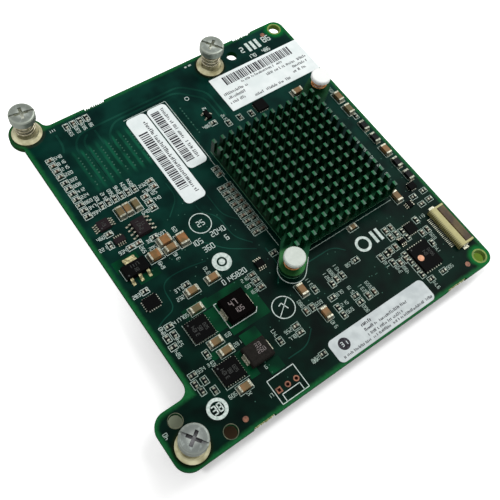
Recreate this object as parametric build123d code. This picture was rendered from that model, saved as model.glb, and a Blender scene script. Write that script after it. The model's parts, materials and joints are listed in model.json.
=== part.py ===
from build123d import *
import os

os.makedirs("parts", exist_ok=True)

# Circuit board. Its own corner frame has x along the near edge, y towards the far edge and z up from the top face.
board_width = 87.2
board_depth = 98.1
board_thickness = 1.6
board_corner_radius = 3.0
ear_length = 11.6
ear_depth = 15.1
ear_corner_radius = 4.0
ear_hollow_radius = 3.3
lobe_radius = 4.9
lobe_hollow_radius = 2.0
edge_hole_radius = 1.65
edge_hole_inset_x = 3.1
edge_hole_inset_y = 2.9
small_hole_radius = 1.6
small_hole_place_shares = (0.764, 0.948)
ear_hole_to_screw = 6.9
near_hole_inset = 2.7
header_hole_radius = 0.45
header_hole_pitch = 2.54
header_hole_count = 3
header_place_shares = (0.2308, 0.0423)
snap_depth = 0.7
snap_lengths = (6.2, 6.6)
far_snap_place_shares = (0.264, 0.844)
near_snap_place_shares = (0.1205, 0.839)
overrun = 1.0

# Captive screws: ferrule fixed in the board, sprung screw through it.
screw_place_shares = ((0.0344, 1.004), (0.674, 0.948), (-0.0722, 0.05))
ferrule_radius = 4.05
ferrule_rim_height = 0.45
ferrule_cone_radius = 3.3
ferrule_cone_height = 1.1
ferrule_top_radius = 3.05
ferrule_height = 1.5
ferrule_lip_height = 0.5
ferrule_bore_radius = 1.75
ferrule_lip_radius = 1.3
ferrule_barrel_radius = 2.85
ferrule_hole_clearance = 0.05
screw_head_radius = 3.45
screw_head_height = 2.2
screw_head_rounding = 0.5
screw_head_shoulder_share = 0.3
screw_head_top = 9.0
screw_head_turns = (-11.0, -55.0, -56.0)
screw_neck_radius = 1.1
screw_thread_radius = 1.5
screw_thread_stop_clearance = 0.05
screw_tip_chamfer = 0.4
screw_tip_reach = 0.3
screw_slot_width = 0.7
screw_slot_depth = 0.45
cross_length = 3.7
cross_width = 0.85
cross_depth = 1.5
screw_spring_radius = 2.8
screw_spring_wire = 0.6
screw_spring_turns = 3.5
spring_clearance = 0.12
coil_section_sides = 6
coil_steps_per_turn = 16

# Controller chip under the heat sink, and the pad between them.
substrate_size = 31.0
substrate_height = 0.8
lid_size = 26.0
lid_height = 0.9
lid_corner_radius = 1.0
pad_size = 24.0
pad_height = 0.3

# Heat sink: one extrusion cut across into square rows of pins, with a lug at two corners.
sink_place_shares = (0.68, 0.4913)
sink_column_count = 13
sink_row_count = 14
sink_pitch = 2.765
sink_pin_width = 0.85
sink_pin_length = 1.35
sink_base_height = 1.6
sink_pin_height = 3.9
lug_offset = 20.7
lug_radius = 3.4
lug_root_length = 5.5
lug_hole_radius = 1.6

# Push pins that hold the heat sink.
push_pin_head_radius = 2.8
push_pin_head_height = 1.2
push_pin_head_chamfer = 0.25
push_pin_head_top = 7.9
push_pin_stem_radius = 1.3
push_pin_barb_radius = 1.95
push_pin_barb_gap = 0.1
push_pin_barb_length = 1.6
push_pin_tip_radius = 0.8
push_pin_split = 0.6
push_pin_split_length = 3.0
push_pin_spring_radius = 2.55
push_pin_spring_wire = 0.55
push_pin_spring_turns = 2.5

# Flat-cable connector on the right edge: housing, flip bar, contacts and anchors.
cable_center_share = 0.141
cable_edge_inset = 1.72
cable_contact_count = 20
cable_contact_pitch = 0.5
cable_contact_width = 0.2
cable_contact_thickness = 0.2
cable_tail_length = 1.4
cable_end_margin = 1.12
cable_ear_thickness = 0.55
cable_housing_length = 4.95
cable_housing_height = 1.6
cable_rear_height = 1.4
cable_slope_length = 0.2
cable_roof_length = 2.4
cable_slot_rear = 1.1
cable_floor_height = 0.45
cable_slot_height = 0.5
cable_beam_length = 2.4
flip_thickness = 0.8
flip_side_clearance = 0.1
flip_rear_clearance = 0.12
flip_front_setback = 0.1
flip_stub_radius = 0.25
flip_stub_length = 0.25
flip_stub_clearance = 0.05
anchor_setback = 1.3
anchor_length = 1.8
anchor_foot = 0.95
anchor_height = 1.0
anchor_thickness = 0.2

# Host connector on the underside: housing with cross slots, and blades in them.
host_place_shares = (0.304, 0.81)
host_length = 36.6
host_width = 15.2
host_height = 5.9
host_slot_count = 15
host_slot_pitch = 2.3
host_slot_width = 1.2
host_slot_length = 12.6
host_slot_depth = 3.4
host_blade_count = 6
host_blade_pitch = 2.0
host_blade_width = 1.2
host_blade_thickness = 0.35
host_blade_setback = 0.6
host_corner_chamfer = 1.0

# Power inductors: pressed block and two folded end plates.
inductor_1_size = (7.0, 6.7, 2.4)
inductor_2_size = (6.3, 5.3, 2.2)
inductor_place_shares = ((0.2415, 0.2705), (0.2125, 0.1455))
inductor_chamfer = 0.3
inductor_1_plate_width = 2.9
inductor_2_plate_width = 2.6
inductor_plate_thickness = 0.25
inductor_plate_height = 1.5
inductor_foot_length = 0.7

# Packages with no leads.
regulator_1_size = (5.6, 5.6, 0.9)
regulator_2_size = (5.8, 5.3, 0.9)
regulator_place_shares = ((0.1205, 0.2735), (0.1205, 0.1455))
interface_chip_size = (6.2, 7.6, 0.9)
interface_chip_place_shares = (0.8155, 0.1122)
flat_chip_1_size = (3.8, 3.2, 0.8)
flat_chip_2_size = (3.0, 3.0, 0.8)
flat_chip_3_size = (3.5, 3.4, 0.8)
flat_chip_4_size = (2.2, 2.0, 0.8)
flat_chip_place_shares = ((0.0525, 0.3975), (0.8415, 0.1975), (0.7225, 0.7495), (0.9485, 0.298))

# Packages with leads. Counts are for the right, left, far and near sides.
lead_thickness = 0.18
lead_shoulder_share = 0.3
lead_drop_share = 0.25
lead_exit_share = 0.45
package_standoff = 0.08
package_draft = 6.0
memory_chip_size = (3.9, 4.9, 1.5)
memory_chip_place_shares = (0.1542, 0.5907)
memory_lead_counts = (4, 4, 0, 0)
memory_lead_pitch = 1.27
memory_lead_reach = 1.45
memory_lead_width = 0.42
narrow_chip_size = (3.2, 3.0, 1.0)
narrow_chip_place_shares = (0.0665, 0.6463)
narrow_lead_counts = (4, 4, 0, 0)
narrow_lead_pitch = 0.65
narrow_lead_reach = 1.2
narrow_lead_width = 0.28
linear_body_size = (6.6, 3.8, 1.6)
linear_place_shares = (0.0694, 0.496)
linear_lead_counts = (0, 0, 0, 3)
linear_tab_counts = (0, 0, 1, 0)
linear_lead_pitch = 2.3
linear_lead_reach = 1.75
linear_lead_width = 0.8
linear_tab_width = 3.3
linear_tab_reach = 1.9
logic_chip_1_size = (3.0, 1.7, 0.9)
logic_chip_2_size = (2.4, 2.0, 0.8)
logic_chip_3_size = (2.0, 1.3, 0.9)
logic_chip_4_size = (1.4, 2.0, 0.9)
logic_chip_place_shares = ((0.0803, 0.588), (0.378, 0.3365), (0.789, 0.1795), (0.897, 0.2558))
logic_chip_1_lead_counts = (0, 0, 4, 4)
logic_chip_2_lead_counts = (0, 0, 4, 4)
logic_chip_3_lead_counts = (0, 0, 3, 3)
logic_chip_4_lead_counts = (3, 3, 0, 0)
logic_lead_pitch = 0.6
logic_lead_reach = 0.7
logic_lead_width = 0.25
transistor_size = (1.4, 2.9, 1.0)
transistor_place_shares = (0.5493, 0.8002)
transistor_lead_counts = (1, 2, 0, 0)
transistor_lead_pitch = 1.9
transistor_lead_reach = 0.75
transistor_lead_width = 0.45

# Chip parts, as length, width and height. The larger ones have tinned ends of their own.
small_chip_size = (1.15, 0.62, 0.5)
small_chip_gaps = (1.05, 1.33)
large_chip_size = (3.2, 1.7, 1.3)
large_chip_end = 0.5
large_chip_gaps = (0.9, 0.4)
medium_chip_size = (2.1, 1.25, 0.9)
medium_chip_end = 0.4
medium_chip_gaps = (0.8, 0.4)
wide_chip_size = (3.3, 2.35, 1.6)
wide_chip_end = 0.5
wide_chip_gaps = (0.9, 0.5)
ferrite_size = (3.2, 1.6, 1.1)
ferrite_end = 0.55
ferrite_gaps = (0.9, 0.4)
tin_thickness = 0.04

# Each group of chips is a share of the board's width and depth for its middle, then columns, rows and
# whether the chips lie along y.
small_capacitor_place_shares = (
    (0.044, 0.864, 1, 4, False),
    (0.172, 0.970, 1, 1, True),
    (0.220, 0.644, 1, 3, False),
    (0.261, 0.689, 1, 2, False),
    (0.064, 0.618, 1, 1, False),
    (0.108, 0.5555, 2, 1, False),
    (0.457, 0.628, 1, 2, False),
    (0.339, 0.302, 1, 3, False),
    (0.350, 0.1385, 1, 2, False),
    (0.414, 0.165, 2, 1, True),
    (0.551, 0.192, 2, 1, True),
    (0.5975, 0.110, 2, 1, True),
    (0.750, 0.177, 2, 1, True),
    (0.749, 0.1345, 2, 1, True),
    (0.781, 0.218, 2, 2, True),
    (0.876, 0.170, 2, 1, True),
    (0.968, 0.2395, 1, 1, False),
    (0.935, 0.2385, 1, 1, False),
)
sink_row_clearance = 0.46
sink_row_place_share = 0.497
sink_row_columns_and_rows = (2, 9)
chip_resistor_place_shares = (
    (0.044, 0.751, 1, 7, False),
    (0.151, 0.701, 6, 1, True),
    (0.148, 0.970, 1, 1, True),
    (0.206, 0.970, 2, 1, True),
    (0.049, 0.588, 1, 1, True),
    (0.055, 0.432, 1, 1, False),
    (0.163, 0.3905, 1, 1, False),
    (0.169, 0.548, 1, 1, False),
    (0.043, 0.2965, 2, 1, True),
    (0.032, 0.271, 1, 1, False),
    (0.054, 0.3215, 1, 1, False),
    (0.435, 0.3425, 1, 1, False),
    (0.0315, 0.1870, 1, 1, False),
    (0.0235, 0.1645, 1, 1, True),
    (0.0285, 0.1430, 1, 1, True),
    (0.0505, 0.1610, 1, 1, True),
    (0.058, 0.128, 1, 1, True),
    (0.0955, 0.212, 1, 1, True),
    (0.287, 0.1385, 1, 1, True),
    (0.4655, 0.200, 1, 1, True),
    (0.364, 0.053, 1, 1, False),
    (0.520, 0.1875, 1, 1, True),
    (0.6285, 0.207, 1, 1, False),
    (0.493, 0.157, 1, 1, False),
    (0.487, 0.116, 1, 2, True),
    (0.554, 0.1175, 1, 2, False),
    (0.710, 0.174, 2, 1, True),
    (0.719, 0.1455, 1, 1, True),
    (0.768, 0.110, 1, 4, True),
    (0.8145, 0.1925, 1, 2, True),
    (0.8785, 0.209, 1, 1, True),
    (0.868, 0.1315, 1, 1, True),
    (0.783, 0.0525, 1, 1, False),
    (0.8325, 0.0515, 1, 1, False),
    (0.593, 0.7475, 1, 1, True),
    (0.6375, 0.7475, 1, 1, True),
    (0.550, 0.770, 1, 1, False),
    (0.679, 0.742, 1, 1, True),
    (0.9725, 0.269, 1, 1, False),
    (0.929, 0.269, 1, 1, False),
    (0.9725, 0.573, 1, 1, True),
)
large_capacitor_place_shares = (
    (0.1405, 0.6545, 2, 1, True),
    (0.1815, 0.6545, 1, 1, True),
    (0.1903, 0.4975, 1, 1, False),
    (0.1663, 0.368, 1, 1, False),
    (0.2374, 0.370, 1, 1, False),
    (0.1456, 0.322, 1, 1, False),
    (0.1353, 0.2245, 1, 1, False),
    (0.1445, 0.1925, 1, 1, False),
    (0.1284, 0.0938, 1, 1, False),
    (0.4312, 0.2171, 1, 1, True),
    (0.4461, 0.1325, 1, 1, True),
    (0.8624, 0.734, 1, 1, False),
    (0.8795, 0.2945, 1, 1, True),
    (0.969, 0.653, 1, 1, True),
    (0.967, 0.601, 1, 1, True),
    (0.967, 0.431, 1, 1, True),
)
medium_capacitor_place_shares = ((0.6904, 0.2875, 1, 1, False),)
wide_capacitor_place_shares = (
    (0.187, 0.524, 1, 1, False),
    (0.1385, 0.5005, 1, 1, False),
    (0.2328, 0.5025, 1, 1, True),
)
ferrite_place_shares = (
    (0.9675, 0.531, 1, 1, True),
    (0.9675, 0.481, 1, 1, True),
    (0.9675, 0.381, 1, 1, True),
    (0.9675, 0.331, 1, 1, True),
)

# Paper labels.
label_thickness = 0.12
serial_label_size = (31.9, 12.6)
serial_label_place_shares = (0.816, 0.8385)
address_label_1_size = (6.3, 31.4)
address_label_2_size = (6.1, 22.5)
address_label_place_shares = (0.347, 0.743)
address_label_gap = 0.4
product_label_size = (31.7, 6.4)
product_label_place_shares = (0.5717, 0.0377)
square_label_radius = 0.15
round_label_radius = 1.4


# The finished part stands on the host connector, with its origin under the middle of its outline.
screw_places = [(x * board_width, y * board_depth) for x, y in screw_place_shares]
far_reach = screw_places[0][1] + lobe_radius
origin_x = (board_width - ear_length) / 2
origin_y = far_reach / 2
stand_height = board_thickness + host_height
to_origin = Pos(-origin_x, -origin_y, stand_height)


def on_board(shares, height=0):
    """Place above the board's top face, from shares of its width and depth."""
    return Pos(shares[0] * board_width, shares[1] * board_depth, height)


def write(node, *shapes):
    """Writes one node as a group of its solids."""
    solids = [solid for shape in shapes for solid in shape.solids()]
    export_step(to_origin * Compound(solids), f"parts/{node}.step")


def block(length, width, height):
    """Box that stands on z = 0."""
    return Box(length, width, height, align=(Align.CENTER, Align.CENTER, Align.MIN))


def turned(*points):
    """Body of revolution about z from (radius, height) points."""
    return revolve(Plane.XZ * make_face(Polyline(*points, close=True)), Axis.Z)


def profiled(width, *points):
    """Outline in x and z, carried along y by a width and centred on it."""
    outline = Plane.XZ * make_face(Polyline(*points, close=True))
    return extrude(outline, amount=width / 2, both=True)


def coil(mean_radius, wire, height, turns):
    """Open coil spring that fills the given height from z = 0. Its helix and its round wire are faceted."""
    rise = height - wire
    helix = Helix(pitch=rise / turns, height=rise, radius=mean_radius)
    steps = round(turns * coil_steps_per_turn)
    path = Polyline(*[helix @ (step / steps) for step in range(steps + 1)])
    section = Plane(origin=path @ 0, z_dir=path % 0) * RegularPolygon(wire / 2, coil_section_sides)
    return Pos(0, 0, wire / 2) * sweep(section, path=path, transition=Transition.RIGHT)


# Edge and tooling holes
right_hole_x = board_width - edge_hole_inset_x
far_hole_y = board_depth - edge_hole_inset_y
edge_hole_places = [(right_hole_x, edge_hole_inset_y), (right_hole_x, far_hole_y)]
near_hole_place = (near_hole_inset, near_hole_inset)
ear_screw_x = screw_places[2][0]
ear_screw_y = screw_places[2][1]
ear_hole_place = (ear_screw_x, ear_screw_y + ear_hole_to_screw)
sink_x = sink_place_shares[0] * board_width
sink_y = sink_place_shares[1] * board_depth
lug_places = [(sink_x - lug_offset, sink_y - lug_offset), (sink_x + lug_offset, sink_y + lug_offset)]


def board_outline():
    """Main rectangle, the ear at the near left corner and the round lobe at the far left corner."""
    main = Pos(board_width / 2, board_depth / 2) * Rectangle(board_width, board_depth)
    right_corners = main.vertices().sort_by(Axis.X)[-2:]
    main = fillet(right_corners, board_corner_radius)
    ear = Pos(-ear_length / 2, ear_depth / 2) * Rectangle(ear_length, ear_depth)
    main = fillet((main + ear).vertices().sort_by(Axis.X)[:2], ear_corner_radius)
    hollow = main.vertices().sort_by_distance((0, ear_depth))[0]
    main = fillet(hollow, ear_hollow_radius)
    main = main + Pos(*screw_places[0]) * Circle(lobe_radius)
    lobe_end = main.vertices().filter_by(lambda v: abs(v.Y - board_depth) < overrun / 10)
    return fillet(lobe_end.sort_by(Axis.X)[0], lobe_hollow_radius)


def board():
    """Laminate with its holes and with the steps left by the snapped-off panel tabs."""
    outline = board_outline()
    for length, share in zip(snap_lengths, far_snap_place_shares):
        outline -= Pos(share * board_width, board_depth) * Rectangle(length, 2 * snap_depth)
    for length, share in zip(snap_lengths, near_snap_place_shares):
        outline -= Pos(share * board_width, 0) * Rectangle(length, snap_depth)
    for place in screw_places:
        outline -= Pos(*place) * Circle(ferrule_barrel_radius + ferrule_hole_clearance)
    for place in edge_hole_places + [near_hole_place, ear_hole_place]:
        outline -= Pos(*place) * Circle(edge_hole_radius)
    outline -= on_board(small_hole_place_shares) * Circle(small_hole_radius)
    for place in lug_places:
        outline -= Pos(*place) * Circle(lug_hole_radius)
    for step in range(header_hole_count):
        shift = (step - (header_hole_count - 1) / 2) * header_hole_pitch
        outline -= on_board(header_place_shares) * Pos(shift, 0) * Circle(header_hole_radius)
    return extrude(outline, amount=-board_thickness)


def ferrule():
    """Flanged ferrule with a lip at its mouth that keeps the screw's thread below it."""
    lip_bottom = ferrule_height - ferrule_lip_height
    return turned(
        (ferrule_bore_radius, -board_thickness),
        (ferrule_barrel_radius, -board_thickness),
        (ferrule_barrel_radius, 0),
        (ferrule_radius, 0),
        (ferrule_radius, ferrule_rim_height),
        (ferrule_cone_radius, ferrule_cone_height),
        (ferrule_top_radius, ferrule_height),
        (ferrule_lip_radius, ferrule_height),
        (ferrule_lip_radius, lip_bottom),
        (ferrule_bore_radius, lip_bottom),
    )


def captive_screw():
    """Pan head with a cross recess and a slot, thin neck, and a thread that the ferrule's lip holds back."""
    head_bottom = screw_head_top - screw_head_height
    thread_top = ferrule_height - ferrule_lip_height - screw_thread_stop_clearance
    tip = -board_thickness - screw_tip_reach
    shoulder = screw_head_shoulder_share * screw_head_rounding
    screw = turned(
        (0, tip),
        (screw_thread_radius - screw_tip_chamfer, tip),
        (screw_thread_radius, tip + screw_tip_chamfer),
        (screw_thread_radius, thread_top),
        (screw_neck_radius, thread_top),
        (screw_neck_radius, head_bottom),
        (screw_head_radius, head_bottom),
        (screw_head_radius, screw_head_top - screw_head_rounding),
        (screw_head_radius - shoulder, screw_head_top - shoulder),
        (screw_head_radius - screw_head_rounding, screw_head_top),
        (0, screw_head_top),
    )
    slot = block(2 * screw_head_radius, screw_slot_width, 2 * screw_slot_depth)
    screw -= Pos(0, 0, screw_head_top - screw_slot_depth) * slot
    arm = block(cross_length, cross_width, 2 * cross_depth)
    cross = Pos(0, 0, screw_head_top - cross_depth)
    return screw - cross * arm - cross * Rot(0, 0, 90) * arm


def screw_spring():
    """Spring between the ferrule's top and the screw's head."""
    height = screw_head_top - screw_head_height - ferrule_height - 2 * spring_clearance
    mean_radius = screw_spring_radius - screw_spring_wire / 2
    spring = coil(mean_radius, screw_spring_wire, height, screw_spring_turns)
    return Pos(0, 0, ferrule_height + spring_clearance) * spring


sink_bottom = substrate_height + lid_height + pad_height
sink_base_top = sink_bottom + sink_base_height
sink_top = sink_base_top + sink_pin_height
sink_span_x = (sink_column_count - 1) * sink_pitch + sink_pin_width
sink_span_y = (sink_row_count - 1) * sink_pitch + sink_pin_length
sink_middle = sink_x - sink_pitch / 2


def heat_sink():
    """Extrusion cut across into pins, with two lugs and their holes."""
    sink = Pos(sink_middle, sink_y, sink_bottom) * block(sink_span_x, sink_span_y, sink_top - sink_bottom)
    groove_x = block(sink_pitch - sink_pin_width, sink_span_y + overrun, sink_pin_height + overrun)
    groove_y = block(sink_span_x + overrun, sink_pitch - sink_pin_length, sink_pin_height + overrun)
    grooves = []
    for step in range(sink_column_count - 1):
        shift = (step - (sink_column_count - 2) / 2) * sink_pitch
        grooves.append(Pos(sink_middle + shift, sink_y, sink_base_top) * groove_x)
    for step in range(sink_row_count - 1):
        shift = (step - (sink_row_count - 2) / 2) * sink_pitch
        grooves.append(Pos(sink_middle, sink_y + shift, sink_base_top) * groove_y)
    sink -= grooves
    root = Rectangle(lug_root_length, lug_root_length)
    hole = Cylinder(lug_hole_radius, 2 * sink_base_height + overrun)
    for side, place in zip((-1, 1), lug_places):
        corner_x = sink_middle + side * (sink_span_x - lug_root_length) / 2
        corner_y = sink_y + side * (sink_span_y - lug_root_length) / 2
        ring = Pos(*place) * Circle(lug_radius)
        lug = extrude(make_hull((Pos(corner_x, corner_y) * root).edges() + ring.edges()), amount=sink_base_height)
        sink += Pos(0, 0, sink_bottom) * (lug - Pos(*place) * hole)
    return sink


def push_pin():
    """Round head, stem through lug and board, and a split barbed tip under the board."""
    head_bottom = push_pin_head_top - push_pin_head_height
    barb_top = -board_thickness - push_pin_barb_gap
    tip = barb_top - push_pin_barb_length
    pin = turned(
        (0, tip),
        (push_pin_tip_radius, tip),
        (push_pin_barb_radius, barb_top - push_pin_barb_gap),
        (push_pin_barb_radius, barb_top),
        (push_pin_stem_radius, barb_top),
        (push_pin_stem_radius, head_bottom),
        (push_pin_head_radius, head_bottom),
        (push_pin_head_radius, push_pin_head_top - push_pin_head_chamfer),
        (push_pin_head_radius - push_pin_head_chamfer, push_pin_head_top),
        (0, push_pin_head_top),
    )
    split = block(2 * push_pin_barb_radius + overrun, push_pin_split, push_pin_split_length)
    return pin - Pos(0, 0, tip) * split


def push_pin_spring():
    """Spring between the lug and the push pin's head."""
    height = push_pin_head_top - push_pin_head_height - sink_base_top - 2 * spring_clearance
    mean_radius = push_pin_spring_radius - push_pin_spring_wire / 2
    spring = coil(mean_radius, push_pin_spring_wire, height, push_pin_spring_turns)
    return Pos(0, 0, sink_base_top + spring_clearance) * spring


# Flat-cable connector: x runs from its rear, where the tails are, to its mouth at the board's edge.
cable_rear_x = board_width - cable_edge_inset - cable_housing_length
cable_span = (cable_contact_count - 1) * cable_contact_pitch + 2 * cable_end_margin
cable_place = Pos(cable_rear_x, cable_center_share * board_depth)
cable_slot_top = cable_floor_height + cable_slot_height
flip_radius = flip_thickness / 2
flip_pivot_x = cable_roof_length + flip_rear_clearance + flip_radius
flip_pivot_z = cable_housing_height - flip_radius


def cable_housing():
    """Roof block over the contacts, thin floor under the mouth, and an ear at each end with a pivot hole."""
    roof = profiled(
        cable_span,
        (0, cable_contact_thickness),
        (cable_slot_rear, cable_contact_thickness),
        (cable_slot_rear, cable_slot_top),
        (cable_roof_length, cable_slot_top),
        (cable_roof_length, cable_housing_height),
        (cable_slope_length, cable_housing_height),
        (0, cable_rear_height),
    )
    floor_rear = cable_slot_rear + cable_contact_thickness
    floor_length = cable_housing_length - floor_rear
    floor = Pos(floor_rear + floor_length / 2, 0) * block(floor_length, cable_span, cable_floor_height)
    ear = profiled(
        cable_ear_thickness,
        (0, 0),
        (cable_housing_length, 0),
        (cable_housing_length, cable_housing_height),
        (cable_slope_length, cable_housing_height),
        (0, cable_rear_height),
    )
    hole = Cylinder(flip_stub_radius + flip_stub_clearance, 2 * (flip_stub_length + flip_side_clearance))
    housing = roof + floor
    for side in (-1, 1):
        housing += Pos(0, side * (cable_span + cable_ear_thickness) / 2) * ear
    for side in (-1, 1):
        pivot = Pos(flip_pivot_x, side * cable_span / 2, flip_pivot_z)
        housing -= pivot * Rot(90, 0, 0) * hole
    return cable_place * housing


def flip_bar():
    """Bar that closes on the cable, round at its pivot edge, with a stub at each end."""
    length = cable_span - 2 * flip_side_clearance
    reach = cable_housing_length - flip_front_setback - flip_pivot_x
    plate = Pos(reach / 2, 0, -flip_radius) * block(reach, length, flip_thickness)
    barrel = Rot(90, 0, 0) * Cylinder(flip_radius, length)
    stub_span = length + 2 * (flip_side_clearance + flip_stub_length - flip_stub_clearance)
    stubs = Rot(90, 0, 0) * Cylinder(flip_stub_radius, stub_span)
    return cable_place * Pos(flip_pivot_x, 0, flip_pivot_z) * (plate + barrel + stubs)


def cable_contacts():
    """Row of contacts: tail on the board, riser at the back of the slot, and beam under the cable."""
    riser_front = cable_slot_rear + cable_contact_thickness
    beam_top = cable_floor_height + cable_contact_thickness
    contact = profiled(
        cable_contact_width,
        (-cable_tail_length, 0),
        (riser_front, 0),
        (riser_front, cable_floor_height),
        (riser_front + cable_beam_length, cable_floor_height),
        (riser_front + cable_beam_length, beam_top),
        (cable_slot_rear, beam_top),
        (cable_slot_rear, cable_contact_thickness),
        (-cable_tail_length, cable_contact_thickness),
    )
    row = []
    for step in range(cable_contact_count):
        shift = (step - (cable_contact_count - 1) / 2) * cable_contact_pitch
        row.append(cable_place * Pos(0, shift) * contact)
    return row


def cable_anchors():
    """Folded metal tab at each end of the housing, soldered to the board."""
    outline = make_face(
        Polyline(
            (0, 0),
            (anchor_foot, 0),
            (anchor_foot, anchor_thickness),
            (anchor_thickness, anchor_thickness),
            (anchor_thickness, anchor_height),
            (0, anchor_height),
            close=True,
        )
    )
    tab = extrude(Plane.YZ * outline, amount=anchor_length)
    end = cable_span / 2 + cable_ear_thickness
    far = cable_place * Pos(anchor_setback, end) * tab
    near = cable_place * Pos(anchor_setback, -end) * mirror(tab, about=Plane.XZ)
    return [far, near]


def host_housing():
    """Moulded block under the board with a row of cross slots in its mating face."""
    housing = Box(host_length, host_width, host_height, align=(Align.CENTER, Align.CENTER, Align.MAX))
    housing = chamfer(housing.edges().filter_by(Axis.Z).sort_by(Axis.X)[:2], host_corner_chamfer)
    slot = block(host_slot_width, host_slot_length, host_slot_depth + overrun)
    slots = []
    for step in range(host_slot_count):
        shift = (step - (host_slot_count - 1) / 2) * host_slot_pitch
        slots.append(Pos(shift, 0, -host_height - overrun) * slot)
    return on_board(host_place_shares, -board_thickness) * (housing - slots)


def host_blades():
    """Contact blades that hang from the top of each slot."""
    length = host_slot_depth - host_blade_setback
    blade = block(host_blade_thickness, host_blade_width, length)
    bottom = -host_height + host_blade_setback
    blades = []
    for column in range(host_slot_count):
        shift_x = (column - (host_slot_count - 1) / 2) * host_slot_pitch
        for row in range(host_blade_count):
            shift_y = (row - (host_blade_count - 1) / 2) * host_blade_pitch
            blades.append(on_board(host_place_shares, -board_thickness) * Pos(shift_x, shift_y, bottom) * blade)
    return blades


def inductor(size):
    """Pressed block with its upper edges broken."""
    body = block(*size)
    top = body.edges().group_by(Axis.Z)[-1]
    return chamfer(top, inductor_chamfer)


def inductor_plates(size, width):
    """Two folded end plates, each with a foot on the board."""
    start = size[0] / 2
    plate = profiled(
        width,
        (start, 0),
        (start + inductor_foot_length, 0),
        (start + inductor_foot_length, inductor_plate_thickness),
        (start + inductor_plate_thickness, inductor_plate_thickness),
        (start + inductor_plate_thickness, inductor_plate_height),
        (start, inductor_plate_height),
    )
    return [plate, Rot(0, 0, 180) * plate]


def lead(reach, exit_height, width):
    """Bent lead that leaves a package sideways at x = 0 and ends in a foot on the board."""
    shoulder = lead_shoulder_share * reach
    foot = shoulder + lead_drop_share * reach
    lean = lead_thickness / 2
    top = exit_height + lead_thickness
    return profiled(
        width,
        (0, exit_height),
        (shoulder - lean, exit_height),
        (foot - lean, 0),
        (reach, 0),
        (reach, lead_thickness),
        (foot + lean, lead_thickness),
        (shoulder + lean, top),
        (0, top),
    )


def package(size):
    """Moulded body with drafted sides, just clear of the board."""
    height = size[2] - package_standoff
    body = extrude(Rectangle(size[0], size[1]), amount=height, taper=package_draft)
    return Pos(0, 0, package_standoff) * body


def package_leads(size, counts, pitch, reach, width):
    """Leads of a package, on its right, left, far and near sides."""
    one = lead(reach, lead_exit_share * size[2], width)
    leads = []
    for turn, count, across in zip((0, 180, 90, 270), counts, (size[0], size[0], size[1], size[1])):
        for step in range(count):
            shift = (step - (count - 1) / 2) * pitch
            leads.append(Rot(0, 0, turn) * Pos(across / 2, shift) * one)
    return leads


def chip_places(groups, size, gaps):
    """Places of chip parts that lie in columns and rows."""
    length, width, height = size
    places = []
    for x_share, y_share, columns, rows, along_y in groups:
        pitch_x = width + gaps[1] if along_y else length + gaps[0]
        pitch_y = length + gaps[0] if along_y else width + gaps[1]
        for column in range(columns):
            for row in range(rows):
                shift = Pos((column - (columns - 1) / 2) * pitch_x, (row - (rows - 1) / 2) * pitch_y)
                places.append(on_board((x_share, y_share)) * shift * Rot(0, 0, 90 if along_y else 0))
    return places


def chip_bodies(places, size, end):
    """Bodies of larger chip parts, between their tinned ends."""
    length, width, height = size
    body = block(length - 2 * end, width - 2 * tin_thickness, height - 2 * tin_thickness)
    return [place * Pos(0, 0, tin_thickness) * body for place in places]


def chip_ends(places, size, end):
    """Tinned ends of larger chip parts."""
    length, width, height = size
    tin = block(end, width, height)
    return [place * Pos(side * (length - end) / 2, 0) * tin for place in places for side in (-1, 1)]


def label(size, radius):
    """Thin paper label with rounded corners."""
    return extrude(RectangleRounded(*size, radius), amount=label_thickness)


# Board, captive screws and heat sink
write("circuit_board", board())
one_ferrule = ferrule()
one_screw = captive_screw()
one_screw_spring = screw_spring()
for number, (place, turn) in enumerate(zip(screw_places, screw_head_turns), start=1):
    write(f"screw_ferrule_{number}", Pos(*place) * one_ferrule)
    write(f"captive_screw_{number}", Pos(*place) * Rot(0, 0, turn) * one_screw)
    write(f"screw_spring_{number}", Pos(*place) * one_screw_spring)
write("controller_substrate", Pos(sink_x, sink_y) * block(substrate_size, substrate_size, substrate_height))
lid = extrude(RectangleRounded(lid_size, lid_size, lid_corner_radius), amount=lid_height)
write("controller_lid", Pos(sink_x, sink_y, substrate_height) * lid)
pad = block(pad_size, pad_size, pad_height)
write("thermal_pad", Pos(sink_x, sink_y, substrate_height + lid_height) * pad)
write("heat_sink", heat_sink())
one_push_pin = push_pin()
one_push_pin_spring = push_pin_spring()
for number, place in enumerate(lug_places, start=1):
    write(f"push_pin_{number}", Pos(*place) * one_push_pin)
    write(f"push_pin_spring_{number}", Pos(*place) * one_push_pin_spring)

# Connectors
write("cable_housing", cable_housing())
write("cable_flip_bar", flip_bar())
write("cable_contacts", *cable_contacts())
write("cable_anchors", *cable_anchors())
write("host_housing", host_housing())
write("host_blades", *host_blades())

# Power parts and chips
plates = []
inductor_kinds = ((inductor_1_size, inductor_1_plate_width), (inductor_2_size, inductor_2_plate_width))
for number, (size, plate_width) in enumerate(inductor_kinds):
    place = on_board(inductor_place_shares[number])
    write(f"power_inductor_{number + 1}", place * inductor(size))
    plates += [place * plate for plate in inductor_plates(size, plate_width)]
write("inductor_plates", *plates)
for number, size in enumerate((regulator_1_size, regulator_2_size)):
    write(f"regulator_chip_{number + 1}", on_board(regulator_place_shares[number]) * block(*size))
write("interface_chip", on_board(interface_chip_place_shares) * block(*interface_chip_size))
flat_sizes = (flat_chip_1_size, flat_chip_2_size, flat_chip_3_size, flat_chip_4_size)
flat_chips = [on_board(place) * block(*size) for place, size in zip(flat_chip_place_shares, flat_sizes)]
write("flat_chips", *flat_chips)

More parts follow.
